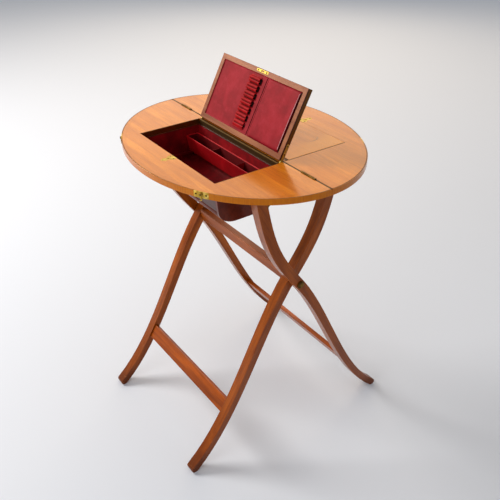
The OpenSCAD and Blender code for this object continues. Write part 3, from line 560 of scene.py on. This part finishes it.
dressing = {
    ("frontTop", 0.35): "front_board", ("rearTop", 0.35): "rear_board",
    ("frontLidTop", 0.35): "front_lid_panel", ("rearLidTop", 0.35): "rear_lid_panel",
    ("frontLidFrame", 0.3): "front_lid_frame", ("rearLidFrame", 0.3): "rear_lid_frame",
    ("wellWood", 0.3): "front_well_walls rear_well_walls",
    ("wellOutside", 0.5): "front_well_ends rear_well_ends",
    ("wellOutside", 0.0): "front_well_floor rear_well_floor",
    ("wellLeather", 0.6): "tray_runners", ("trayLeather", 0.4): "pen_tray tray_dividers",
    ("outerLeg", 1.1): "outer_leg_left outer_leg_right",
    ("innerLeg", 1.1): "inner_leg_left inner_leg_right",
    ("stretcher", 0.9): "outer_stretcher inner_stretcher", ("rail", 0.9): "pivot_rail",
    ("brightBrass", 0.12): "front_escutcheon rear_escutcheon",
    ("brightBrass", 0.15): "front_lid_strike rear_lid_strike",
    ("brightBrass", 0.2): "front_lid_straps rear_lid_straps",
    ("brass", 0.15): "catch_hook_left catch_hook_right front_lock_plate rear_lock_plate",
    ("brass", 0.2): "catch_plates keeper_plates",
    ("oldBrass", 0.15): "catch_pivots keeper_studs outer_hinge_plates inner_hinge_plates "
                        "outer_leg_plates inner_leg_plates pivot_bushes",
    ("oldBrass", 0.3): "front_lid_pins rear_lid_pins front_lock_case rear_lock_case",
    ("hingeBrass", 0.15): "fold_hinge_front_plates fold_hinge_rear_plates fold_hinge_pins",
    # the pivot washers are near black, painted shade of their recess
    ("hingeBrass", 0.5): "pivot_bolts", ("darkBrass", 0.3): "pivot_washers",
    ("steel", 0.2): "front_lock_bolt rear_lock_bolt",
}
dressed = [(node, *look) for look, nodes in dressing.items() for node in nodes.split()]


edgeLook = {"weld": 0.01 * mm, "flat": 0.4, "sharp": 32, "segments": 2}  # angles in degrees


def soften(piece, width):
    # joins the split corners, clears the flat faces' inner edges and rounds the sharp ones
    weld = piece.modifiers.new("joinCorners", "WELD")
    weld.merge_threshold = edgeLook["weld"]
    flat = piece.modifiers.new("clearFlats", "DECIMATE")
    flat.decimate_type = "DISSOLVE"
    flat.angle_limit = math.radians(edgeLook["flat"])
    if width:
        edge = piece.modifiers.new("roundEdges", "BEVEL")
        edge.width = width * mm
        edge.segments = edgeLook["segments"]
        edge.limit_method = "ANGLE"
        edge.angle_limit = math.radians(edgeLook["sharp"])
        edge.harden_normals = True
        edge.use_clamp_overlap = True
    even = piece.modifiers.new("evenShading", "WEIGHTED_NORMAL")
    even.keep_sharp = True


def shadeSmooth(mesh, on=True):
    mesh.polygons.foreach_set("use_smooth", [on] * len(mesh.polygons))


for node, finishName, width in dressed:
    piece = frame["nodes"][node]
    piece.data.materials.clear()
    piece.data.materials.append(finishes[finishName])
    if "custom_normal" in piece.data.attributes:
        piece.data.attributes.remove(piece.data.attributes["custom_normal"])
    shadeSmooth(piece.data)
    soften(piece, width)
print("CAD nodes dressed:", len(dressed))


# Helpers for the pieces made here

def newPiece(name, mesh, body, finishName, stands=()):
    # stands are the CAD nodes that the piece replaces
    mesh.name = name
    mesh.materials.append(finishes[finishName])
    piece = bpy.data.objects.new(name, mesh)
    bpy.context.scene.collection.objects.link(piece)
    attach(piece, body)
    if stands:
        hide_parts(*stands)
    return piece


def fromFaces(verts, faces):
    mesh = bpy.data.meshes.new("piece")
    mesh.from_pydata([tuple(v) for v in verts], [], faces)
    work = bmesh.new()
    work.from_mesh(mesh)
    bmesh.ops.recalc_face_normals(work, faces=work.faces)
    work.to_mesh(mesh)
    work.free()
    shadeSmooth(mesh)
    return mesh


def gridFaces(rows, columns, start=0):
    faces = []
    for r in range(rows - 1):
        for c in range(columns - 1):
            a = start + r * columns + c
            faces.append((a, a + 1, a + columns + 1, a + columns))
    return faces


def sheet(rows):
    # one face thick, through a grid of points
    return fromFaces([p for row in rows for p in row], gridFaces(len(rows), len(rows[0])))


def slab(points, thickness, inward):
    # a grid of points given thickness; inward is the direction that the thickness goes
    rows, columns = len(points), len(points[0])
    outer = [p for row in points for p in row]
    inner = [p + inward * thickness for p in outer]
    count = rows * columns
    faces = gridFaces(rows, columns) + [f[::-1] for f in gridFaces(rows, columns, count)]
    rim = list(range(columns)) + [r * columns + columns - 1 for r in range(1, rows)]
    rim += [count - 1 - c for c in range(1, columns)] + [r * columns for r in range(rows - 2, 0, -1)]
    for a, b in zip(rim, rim[1:] + rim[:1]):
        faces.append((a, a + count, b + count, b))
    return fromFaces(outer + inner, faces)


def tubeFaces(rings, sides, first=0, closed=False):
    faces = []
    for i in range(rings if closed else rings - 1):
        a, b = first + i * sides, first + (i + 1) % rings * sides
        for k in range(sides):
            m = (k + 1) % sides
            faces.append((a + k, a + m, b + m, b + k))
    if not closed:
        end = first + (rings - 1) * sides
        faces += [tuple(range(first, first + sides))[::-1], tuple(range(end, end + sides))]
    return faces


def ring(centre, radius, side, up, sides):
    turns = [2 * math.pi * k / sides for k in range(sides)]
    return [centre + radius * (math.cos(a) * side + math.sin(a) * up) for a in turns]


def tube(path, radius, closed=False, sides=8):
    verts = []
    count = len(path)
    for i, p in enumerate(path):
        before = path[i - 1] if i or closed else p
        after = path[(i + 1) % count] if i + 1 < count or closed else p
        along = (after - before).normalized()
        side = along.cross(Vector((0, 0, 1)))
        side = side.normalized() if side.length > 0.01 else Vector((1, 0, 0))
        verts += ring(p, radius, side, side.cross(along), sides)
    return fromFaces(verts, tubeFaces(count, sides, 0, closed))


def joined(meshes):
    work = bmesh.new()
    for mesh in meshes:
        work.from_mesh(mesh)
        bpy.data.meshes.remove(mesh)
    whole = bpy.data.meshes.new("piece")
    work.to_mesh(whole)
    work.free()
    shadeSmooth(whole)
    return whole


def thicken(piece, skin, insideSlot=0):
    thickness = piece.modifiers.new("thickness", "SOLIDIFY")
    thickness.thickness = skin
    thickness.offset = 0
    thickness.material_offset = insideSlot


def spread(low, high, count):
    return [low + (high - low) * i / (count - 1) for i in range(count)]


def ease(t):
    # a soft step from 0 to 1
    t = max(0.0, min(1.0, t))
    return t * t * (3 - 2 * t)


def wander(u, v, size, seed):
    return noise.noise(Vector((u / size, v / size, seed)))


# Leather faces of the lids

fieldU = lidPlace["halfLength"] - lidPlace["frameWidth"]
fieldV = (lidPlace["frameWidth"], lidPlace["depth"] - lidPlace["frameWidth"])
sink = lidPlace["leatherSink"]
padLook = {
    "puff": 0.35 * mm, "edge": 5 * mm, "waves": 0.12 * mm, "waveSize": 18 * mm, "thickness": 1.1 * mm,
    "under": 0.1 * mm, "gap": 0.03 * mm, "first": 0.35 * mm, "turnedUp": 1.9 * mm,
    "strapFrom": -40 * mm, "strapTo": 12 * mm, "strapSink": 0.35 * mm,
}


def padSteps(low, high, count):
    # even steps, and one more at either end for the turned-up edge
    gap, first = padLook["gap"], padLook["first"]
    return [low + gap] + spread(low + first, high - first, count) + [high - gap]


def leatherFace(name, body, opened, node):
    rows = []
    for v in padSteps(*fieldV, 48):
        row = []
        for u in padSteps(-fieldU, fieldU, 96):
            rim = min(u + fieldU, fieldU - u, v - fieldV[0], fieldV[1] - v)
            swell = padLook["puff"] + padLook["waves"] * wander(u, v, padLook["waveSize"], 3.0)
            w = swell * ease(rim / padLook["edge"]) - sink - padLook["under"]
            if rim < 2 * padLook["gap"]:
                w += padLook["turnedUp"]
            if opened:
                # sunk a little where the strap of the pen loops is sewn on
                left = ease((u - padLook["strapFrom"]) / (1.2 * mm))
                w -= padLook["strapSink"] * left * ease((padLook["strapTo"] - u) / (4 * mm))
            row.append(onLid(u, v, w, opened))
        rows.append(row)
    newPiece(name, slab(rows, padLook["thickness"], -lidOut(opened)), body, "lidLeather", [node])


leatherFace("frontLidLeather", "front_lid", True, "front_lid_leather")
leatherFace("rearLidLeather", "rear_lid", False, "rear_lid_leather")
print("lid leathers made")


# Pen loops

loopLook = {
    "pitch": 16.8 * mm, "width": 13.5 * mm, "right": 6 * mm, "length": 38 * mm, "skin": 1.0 * mm,
    "rise": (3.4, 4.6, 5.3, 5.8, 5.6, 5.9, 6.0),  # mm, one for each loop, from the lid's back edge
    "floor": 0.5 * mm, "sewn": 3.5 * mm, "fullness": 0.6, "groove": 0.5, "grooveHalf": 0.26,
    "steps": 22, "rows": 12, "sag": 0.10, "slip": 0.5 * mm, "fray": 0.35 * mm, "aside": 0.25 * mm,
    # the sizes from here on place the painted shade: dark sheets in the loops' mouths and dark tubes along
    # their grooves and valleys
    "inside": 25 * mm, "mouth": 3.4 * mm, "mouthShadeThickness": 0.35 * mm,
    "gap": 0.7 * mm, "shadeLift": 1.25 * mm, "gapShadeWander": 0.3 * mm,
}
loopStart = (fieldV[0] + fieldV[1] - (len(loopLook["rise"]) - 1) * loopLook["pitch"]) / 2
loops = [(loopStart + i * loopLook["pitch"], rise * mm) for i, rise in enumerate(loopLook["rise"])]


def loopPath():
    # the strap's way across the lid: flat at its ends, arched over each loop with a groove on top
    half, floor = loopLook["width"] / 2, loopLook["floor"]
    path = [(loops[0][0] - half - loopLook["sewn"], floor)]
    for middle, rise in loops:
        for a in spread(0.0, math.pi, loopLook["steps"] + 1):
            dent = loopLook["groove"] * math.exp(-((a - math.pi / 2) / loopLook["grooveHalf"]) ** 2)
            arch = max(0.0, math.sin(a)) ** loopLook["fullness"] * (1 - dent)
            path.append((middle - math.cos(a) * half, floor + (rise - floor) * arch))
    path.append((loops[-1][0] + half + loopLook["sewn"], floor))
    return path


def makeLoops():
    path = loopPath()
    rows = []
    last = loopLook["rows"] - 1
    right = loopLook["right"]
    for k, u in enumerate(spread(right - loopLook["length"], right, loopLook["rows"])):
        row = []
        loose = 1.0 if k in (0, last) else 0.4
        for v, lift in path:
            sag = 1 - loopLook["sag"] * math.sin(math.pi * k / last) * (lift > 1 * mm)
            slip = loopLook["slip"] * wander(v, u, 9 * mm, 8.0)
            slip += loopLook["fray"] * wander(v, u, 3 * mm, 2.0)
            aside = loopLook["aside"] * wander(u, v, 11 * mm, 5.0)
            row.append(onLid(u + slip * loose, v + aside, lift * sag - sink))
        rows.append(row)
    strap = newPiece("penLoops", sheet(rows), "front_lid", "strapLeather", ["pen_loops"])
    # the strap's inner face takes the near-black leather of painted shade
    strap.data.materials.append(finishes["shade"])
    thicken(strap, loopLook["skin"], 1)
    rounded = strap.modifiers.new("rounded", "SUBSURF")
    rounded.levels = 1
    rounded.render_levels = 1


def loopShades():
    # painted shade: dark sheets in the loops' mouths at their right ends, and dark tubes in their grooves
    # and valleys
    right, floor = loopLook["right"], loopLook["floor"]
    mouthShades, gapShades = [], []
    for i, (middle, rise) in enumerate(loops):
        half = loopLook["width"] * (0.4 if i else 0.2)  # the first loop is the lowest
        rows = [[onLid(u, v, floor - sink) for u in (right - loopLook["inside"], right + loopLook["mouth"])]
                for v in (middle - half, middle + half)]
        mouthShades.append(slab(rows, loopLook["mouthShadeThickness"], lidOut()))
        tops = [(middle, (rise - floor) * (1 - loopLook["groove"]))]
        if i:
            tops.append((middle - loopLook["pitch"] / 2, 0.0))
        for v, w in tops:
            path = []
            for u in spread(right - loopLook["length"] + 3 * mm, right - 1.5 * mm, 9):
                aside = loopLook["gapShadeWander"] * wander(u, v, 9 * mm, 4.0)
                path.append(onLid(u, v + aside, w + loopLook["shadeLift"] - sink))
            gapShades.append(tube(path, loopLook["gap"]))
    newPiece("loopMouthShade", joined(mouthShades), "front_lid", "shade")
    newPiece("loopGapShade", joined(gapShades), "front_lid", "shade")


makeLoops()
loopShades()
print("pen loops made")


# Letter wallet

walletLook = {
    "left": 29 * mm, "right": 136.9 * mm, "inset": 1 * mm, "base": 0.7 * mm, "pocket": 1.612 * mm,
    "crown": 0.8 * mm, "lip": 1.9 * mm, "mouth": 22 * mm, "seam": 4 * mm, "skin": 1.1 * mm,
    "roll": 1.0 * mm, "waves": 0.16 * mm, "waveSize": 14 * mm,
    # the sizes from here on place the painted highlight on the mouth, the painted shade in the gap beside
    # it, and the dark lines of painted shade along the left edges
    "edge": 0.65 * mm, "highlightLift": 1.0 * mm, "shadeLift": 0.9 * mm, "shadeDepth": 0.3 * mm,
    "edgeShadeRadius": 0.5 * mm, "edgeShadeWander": 0.4 * mm, "strapEdgeShade": 22.5 * mm,
}
walletLow, walletHigh = fieldV[0] + walletLook["inset"], fieldV[1] - walletLook["inset"]


def walletSide(v):
    # 0 at the sewn sides, 1 inside them
    return ease(min(v - walletLow, walletHigh - v) / walletLook["seam"])


def walletRise(v, start=1.0, opening=1.0):
    # how far the wallet stands off its base: start is 0 at the left seam, opening is 1 at the mouth
    crown = walletLook["crown"] * math.sin(math.pi * (v - walletLow) / (walletHigh - walletLow))
    return walletSide(v) * ((walletLook["pocket"] + crown) * start + walletLook["lip"] * opening)


def makeWallet():
    base = walletLook["base"] - sink
    roll, mouth = walletLook["roll"], walletLook["mouth"]
    columns = spread(walletLook["left"], walletLook["right"] - roll, 40)
    rows = []
    for v in spread(walletLow, walletHigh, 44):
        row = []
        side = walletSide(v)
        for u in columns:
            start = ease((u - walletLook["left"]) / (walletLook["seam"] * 1.5))
            opening = ease((u - columns[-1] + mouth) / mouth)
            wave = walletLook["waves"] * wander(u, v, walletLook["waveSize"], 1.5) * side * start
            row.append(onLid(u, v, base + walletRise(v, start, opening) + wave))
        for angle in (40, 90, 140, 180):
            # the free edge is turned under
            turn = math.radians(angle)
            under = roll * (1 - math.cos(turn)) * (0.35 + 0.65 * side)
            row.append(onLid(columns[-1] + roll * math.sin(turn) * 0.9, v, base + walletRise(v) - under))
        rows.append(row)
    wallet = newPiece("letterWallet", sheet(rows), "front_lid", "lidLeather", ["letter_wallet"])
    thicken(wallet, walletLook["skin"])


def walletTrim():
    # the wallet mouth's pale edge, a painted highlight; painted shade in the dark gap beside it and in the
    # dark lines at its other end
    right = walletLook["right"]
    # painted highlight: a pale tube along the wallet's mouth
    edge = [onLid(right - 0.2 * mm, v, walletLook["highlightLift"] + walletRise(v) - sink)
            for v in spread(walletLow + 1.5 * mm, walletHigh - 1.5 * mm, 30)]
    newPiece("walletHighlight", tube(edge, walletLook["edge"]), "front_lid", "highlightEdge")
    # painted shade: a dark sheet in the gap between the wallet's mouth and the frame
    columns = spread(right + 0.3 * mm, fieldU - 0.2 * mm, 3)
    rows = [[onLid(u, v, walletLook["shadeLift"] - sink) for u in columns]
            for v in spread(fieldV[0] + 2 * mm, fieldV[1] - 2 * mm, 12)]
    newPiece("walletGapShade", slab(rows, walletLook["shadeDepth"], -lidOut()), "front_lid", "shade")
    # painted shade: dark tubes along the wallet's left edge and along the strap's edge beside it
    for name, u, w in (("walletLeftShade", walletLook["left"] - 0.4 * mm, 0.95 * mm),
                       ("strapEdgeShade", walletLook["strapEdgeShade"], 0.7 * mm)):
        path = [onLid(u + walletLook["edgeShadeWander"] * wander(u, v, 20 * mm, 6.0), v, w - sink)
                for v in spread(fieldV[0] + 1.5 * mm, fieldV[1] - 1.5 * mm, 24)]
        newPiece(name, tube(path, walletLook["edgeShadeRadius"]), "front_lid", "shade")


makeWallet()
walletTrim()
print("letter wallet made")


# Stitches

stitchLook = {
    "length": 1.9 * mm, "pitch": 2.7 * mm, "radius": 0.28 * mm, "dip": 0.25 * mm, "sides": 6,
    "profile": ((-1.0, 0.35), (-0.55, 1.0), (0.55, 1.0), (1.0, 0.35)),  # place along, share of the radius
    "inset": 2.4 * mm, "onWallet": 1.45 * mm, "onStrap": 1.15 * mm, "beyond": 1.8 * mm,
}


def stitchRow(start, end):
    # the middles and the direction of short threads from start to end
    run = end - start
    count = max(1, int(run.length / stitchLook["pitch"]))
    return [(start + run * ((i + 0.5) / count), run.normalized()) for i in range(count)]


def stitchMesh(stitches, out):
    verts, faces = [], []
    sides, profile = stitchLook["sides"], stitchLook["profile"]
    for middle, along in stitches:
        faces += tubeFaces(len(profile), sides, len(verts))
        side = along.cross(out).normalized()
        for t, share in profile:
            dip = out * (stitchLook["dip"] * abs(t) ** 3)
            centre = middle + along * (stitchLook["length"] / 2 * t) - dip
            verts += ring(centre, stitchLook["radius"] * share, side, out, sides)
    return fromFaces(verts, faces)


def lidStitches():
    # round the wallet, and between the loops
    low, high = fieldV[0] + stitchLook["inset"], fieldV[1] - stitchLook["inset"]
    left, right = walletLook["left"] + 1.6 * mm, walletLook["right"] - 3 * mm
    seat = stitchLook["onWallet"] - sink
    stitches = stitchRow(onLid(left, low, seat), onLid(left, high, seat))
    for v in (low, high):
        stitches += stitchRow(onLid(left, v, seat), onLid(right, v, seat))
    seat = stitchLook["onStrap"] - sink
    beyond = loopLook["width"] / 2 + stitchLook["beyond"]
    valleys = [middle + loopLook["pitch"] / 2 for middle, rise in loops[:-1]]
    for v in [loops[0][0] - beyond] + valleys + [loops[-1][0] + beyond]:
        start = onLid(loopLook["right"] - loopLook["length"] + 2 * mm, v, seat)
        stitches += stitchRow(start, onLid(loopLook["right"] - 2 * mm, v, seat))
    newPiece("lidStitches", stitchMesh(stitches, lidOut()), "front_lid", "thread")


lidStitches()
print("stitches made")


# Linings of the wells

def makeLining(name, node, body):
    # raised to the well's mouth, cut finer and made slightly uneven where it is glued down
    mesh = frame["nodes"][node].data.copy()
    mesh.materials.clear()
    work = bmesh.new()
    work.from_mesh(mesh)
    bmesh.ops.remove_doubles(work, verts=work.verts, dist=0.02 * mm)
    flat = math.radians(edgeLook["flat"])
    bmesh.ops.dissolve_limit(work, angle_limit=flat, verts=work.verts, edges=work.edges)
    top = max(vert.co.z for vert in work.verts)
    for below in liningLook["levels"]:
        everything = list(work.verts) + list(work.edges) + list(work.faces)
        bmesh.ops.bisect_plane(work, geom=everything, plane_co=(0, 0, top - below), plane_no=(0, 0, 1))
    bmesh.ops.triangulate(work, faces=work.faces)
    for _ in range(4):
        long = [edge for edge in work.edges if edge.calc_length() > liningLook["cut"]]
        if long:
            bmesh.ops.subdivide_edges(work, edges=long, cuts=1)
            bmesh.ops.triangulate(work, faces=work.faces)
    work.normal_update()
    middle = sum(corner.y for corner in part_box(node)) / 2
    for vert in work.verts:
        p = vert.co
        if p.z > top - 0.1 * mm:
            share = 1 if abs(p.x) < topSize["openX"] - 10 * mm else liningLook["endShare"]
            outwards = math.copysign(liningLook["spread"] * share, p.y - middle)
            vert.co = p + Vector((0, outwards, liningLook["raised"]))
        elif p.z <= top - liningLook["still"] and abs(p.x) < liningLook["straight"]:
            shift = liningLook["waves"] * noise.noise(p / liningLook["waveSize"])
            vert.co = p + Vector((0, 1, 0.5)) * shift
    work.to_mesh(mesh)
    work.free()
    shadeSmooth(mesh, False)
    newPiece(name, mesh, body, "wellLeather", [node])


makeLining("frontWellLining", "front_well_lining", "front_leaf")
makeLining("rearWellLining", "rear_well_lining", "rear_leaf")
print("linings made")


# Piping on the pen tray

pipingLook = {"radius": 1.15 * mm, "corner": 2.0 * mm, "inset": 1.2 * mm, "sunk": 0.35 * mm, "sides": 10}


def trayPiping():
    low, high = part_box("pen_tray")
    r = pipingLook["corner"]
    inset = pipingLook["inset"] + r
    x0, x1, y0, y1 = low.x + inset, high.x - inset, low.y + inset, high.y - inset
    z = high.z - pipingLook["sunk"]
    path = []
    for x, y, start in ((x1, y1, 0), (x0, y1, 90), (x0, y0, 180), (x1, y0, 270)):
        for angle in (0, 30, 60, 90):
            turn = math.radians(start + angle)
            path.append(Vector((x + r * math.cos(turn), y + r * math.sin(turn), z)))
    mesh = tube(path, pipingLook["radius"], True, pipingLook["sides"])
    newPiece("trayPiping", mesh, "tray", "trayLeather")


trayPiping()
print("tray piping made")


# Screws

screwLook = {
    "sides": 20, "arc": 11, "slot": 0.16, "floor": 0.02,
    "profile": ((1.0, 0.02), (0.97, 0.16), (0.6, 0.24)),  # share of the radius, height in mm
    "flatRise": 0.3, "small": 1.5 * mm, "large": 1.9 * mm,
    "escutcheon": ((-7.0, 6.6, 0.4), (7.0, 6.6, 1.3), (0, 28.5, 2.2)),  # along, from the well, turn
    "strike": ((-14.5, 0.5), (14.5, 1.9)), "strikeInset": 4.5 * mm,  # along, turn
    "strap": ((14.0, 0.7), (32.0, 2.0)), "strapAt": -7.8 * mm,  # from the lid's back edge, turn
    "rimAt": 167 * mm, "rimApart": 11.2 * mm, "rimDrop": 6.2 * mm,
}


def screwMesh(spots, rise):
    # slotted countersunk heads: a shallow dome in two halves over a sunk floor
    verts, faces = [], []
    arc = screwLook["arc"]
    for place, out, radius, turn in spots:
        side = out.orthogonal().normalized()
        side.rotate(Matrix.Rotation(turn, 3, out))
        up = out.cross(side)
        slotHalf = radius * screwLook["slot"]
        start = math.asin(screwLook["slot"])
        first = len(verts)
        verts += ring(place + out * (screwLook["floor"] * mm * rise), radius, side, up, screwLook["sides"])
        faces.append(tuple(range(first, len(verts))))
        for sign in (1, -1):
            rings = []
            for share, height in screwLook["profile"]:
                rings.append(range(len(verts), len(verts) + arc))
                for a in spread(start, math.pi - start, arc):
                    x = sign * radius * share * math.cos(a)
                    y = sign * max(radius * share * math.sin(a), slotHalf)
                    verts.append(place + side * x + up * y + out * (height * mm * rise))
            for a, b in zip(rings, rings[1:]):
                faces += [(a[k], a[k + 1], b[k + 1], b[k]) for k in range(arc - 1)]
                faces.append((a[0], b[0], b[-1], a[-1]))
            faces.append(tuple(rings[-1]))
    return fromFaces(verts, faces)


def screws(name, body, spots, rise=1.0):
    # the heads are near black: patina and painted shade of their holes and slots
    newPiece(name, screwMesh(spots, rise), body, "darkBrass")


def rimSpots(side):
    # two screws in each rim plate, on the oval
    spots = []
    a, b = topSize["a"], topSize["b"]
    start = math.acos(screwLook["rimAt"] / a)
    step = screwLook["rimApart"] / math.hypot(a * math.sin(start), b * math.cos(start))
    height = topSize["top"] - screwLook["rimDrop"]
    for sign in (1, -1):
        for turn in (start - step, start + step):
            place = Vector((sign * a * math.cos(turn), side * b * math.sin(turn), height))
            out = Vector((place.x / a ** 2, place.y / b ** 2, 0)).normalized()
            spots.append((place, out, screwLook["large"], turn * 3))
    return spots


def escutcheonSpots(side):
    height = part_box("rear_escutcheon")[1].z
    return [(Vector((x * mm, side * (topSize["openFar"] + y * mm), height)), Vector((0, 0, 1)),
             screwLook["small"], turn) for x, y, turn in screwLook["escutcheon"]]


def strikeSpots(opened):
    v = lidPlace["depth"] - screwLook["strikeInset"]
    return [(onLid(u * mm, v, 0, opened), lidOut(opened), screwLook["large"], turn)
            for u, turn in screwLook["strike"]]


def strapSpots(opened):
    return [(onLid(sign * lidPlace["halfLength"], v * mm, screwLook["strapAt"], opened),
             Vector((sign, 0, 0)), screwLook["small"], turn)
            for sign in (1, -1) for v, turn in screwLook["strap"]]


screws("frontEscutcheonScrews", "front_leaf", escutcheonSpots(-1), screwLook["flatRise"])
screws("rearEscutcheonScrews", "rear_leaf", escutcheonSpots(1), screwLook["flatRise"])
screws("frontStrikeScrews", "front_lid", strikeSpots(True))
screws("rearStrikeScrews", "rear_lid", strikeSpots(False))
screws("catchPlateScrews", "front_leaf", rimSpots(-1))
screws("keeperPlateScrews", "rear_leaf", rimSpots(1))
screws("frontStrapScrews", "front_lid", strapSpots(True))
screws("rearStrapScrews", "rear_lid", strapSpots(False))
print("screws made")


# Floor, light and camera

floorLook = {"half": 14.0, "shader": {"Base Color": paint("#e1e6ee"), "Roughness": 0.7}}


def makeFloor():
    half = floorLook["half"]
    corners = ((-half, -half, 0), (half, -half, 0), (half, half, 0), (-half, half, 0))
    mesh = bpy.data.meshes.new("floor")
    mesh.from_pydata(corners, [], [(0, 1, 2, 3)])
    floor = bpy.data.objects.new("floor", mesh)
    bpy.context.scene.collection.objects.link(floor)
    mesh.materials.append(Finish("paleFloor", floorLook["shader"]).material)


lightLook = {
    "world": 0.42, "worldColour": "#f6f7fa",
    # name: place, aim, size, power in watts, colour
    "lamps": {
        "keyLeft": ((-2.6, -1.6, 2.6), (0, 0, 0.5), 1.6, 98, "#fffaf4"),
        "backSoft": ((-2.6, 2.2, 2.6), (0, 0, 0.7), 4.2, 60, "#ffe9cc"),
        "frontSoft": ((0.6, -3.2, 1.6), (0, 0, 0.5), 2.4, 26, "#ffffff"),
    },
}


def makeLights():
    world = bpy.data.worlds.new("studio")
    bpy.context.scene.world = world
    world.use_nodes = True
    sky = world.node_tree.nodes["Background"]
    sky.inputs["Color"].default_value = paint(lightLook["worldColour"])
    sky.inputs["Strength"].default_value = lightLook["world"]
    for name, (place, aim, size, power, colour) in lightLook["lamps"].items():
        lamp = bpy.data.lights.new(name, "AREA")
        lamp.shape = "DISK"
        lamp.size = size
        lamp.energy = power
        lamp.color = paint(colour)[:3]
        holder = bpy.data.objects.new(name, lamp)
        bpy.context.scene.collection.objects.link(holder)
        holder.location = place
        holder.rotation_euler = (Vector(aim) - Vector(place)).to_track_quat("-Z", "Y").to_euler()


cameraLook = {
    "azimuth": 54.34, "elevation": 32.49, "distance": 1.6344, "aim": (0.0338, 0, 0.4437),
    "lens": 48.805, "sensor": 36, "farthest": 60,
}


def makeCamera():
    lens = bpy.data.cameras.new("camera")
    lens.sensor_width = cameraLook["sensor"]
    lens.lens = cameraLook["lens"]
    lens.clip_end = cameraLook["farthest"]
    camera = bpy.data.objects.new("camera", lens)
    bpy.context.scene.collection.objects.link(camera)
    a, e = math.radians(cameraLook["azimuth"]), math.radians(cameraLook["elevation"])
    back = Vector((math.sin(a) * math.cos(e), -math.cos(a) * math.cos(e), math.sin(e)))
    camera.location = Vector(cameraLook["aim"]) + back * cameraLook["distance"]
    camera.rotation_euler = (-back).to_track_quat("-Z", "Y").to_euler()
    bpy.context.scene.camera = camera


makeFloor()
makeLights()
makeCamera()
bpy.context.scene.view_settings.view_transform = "Standard"
print("floor, light and camera made")
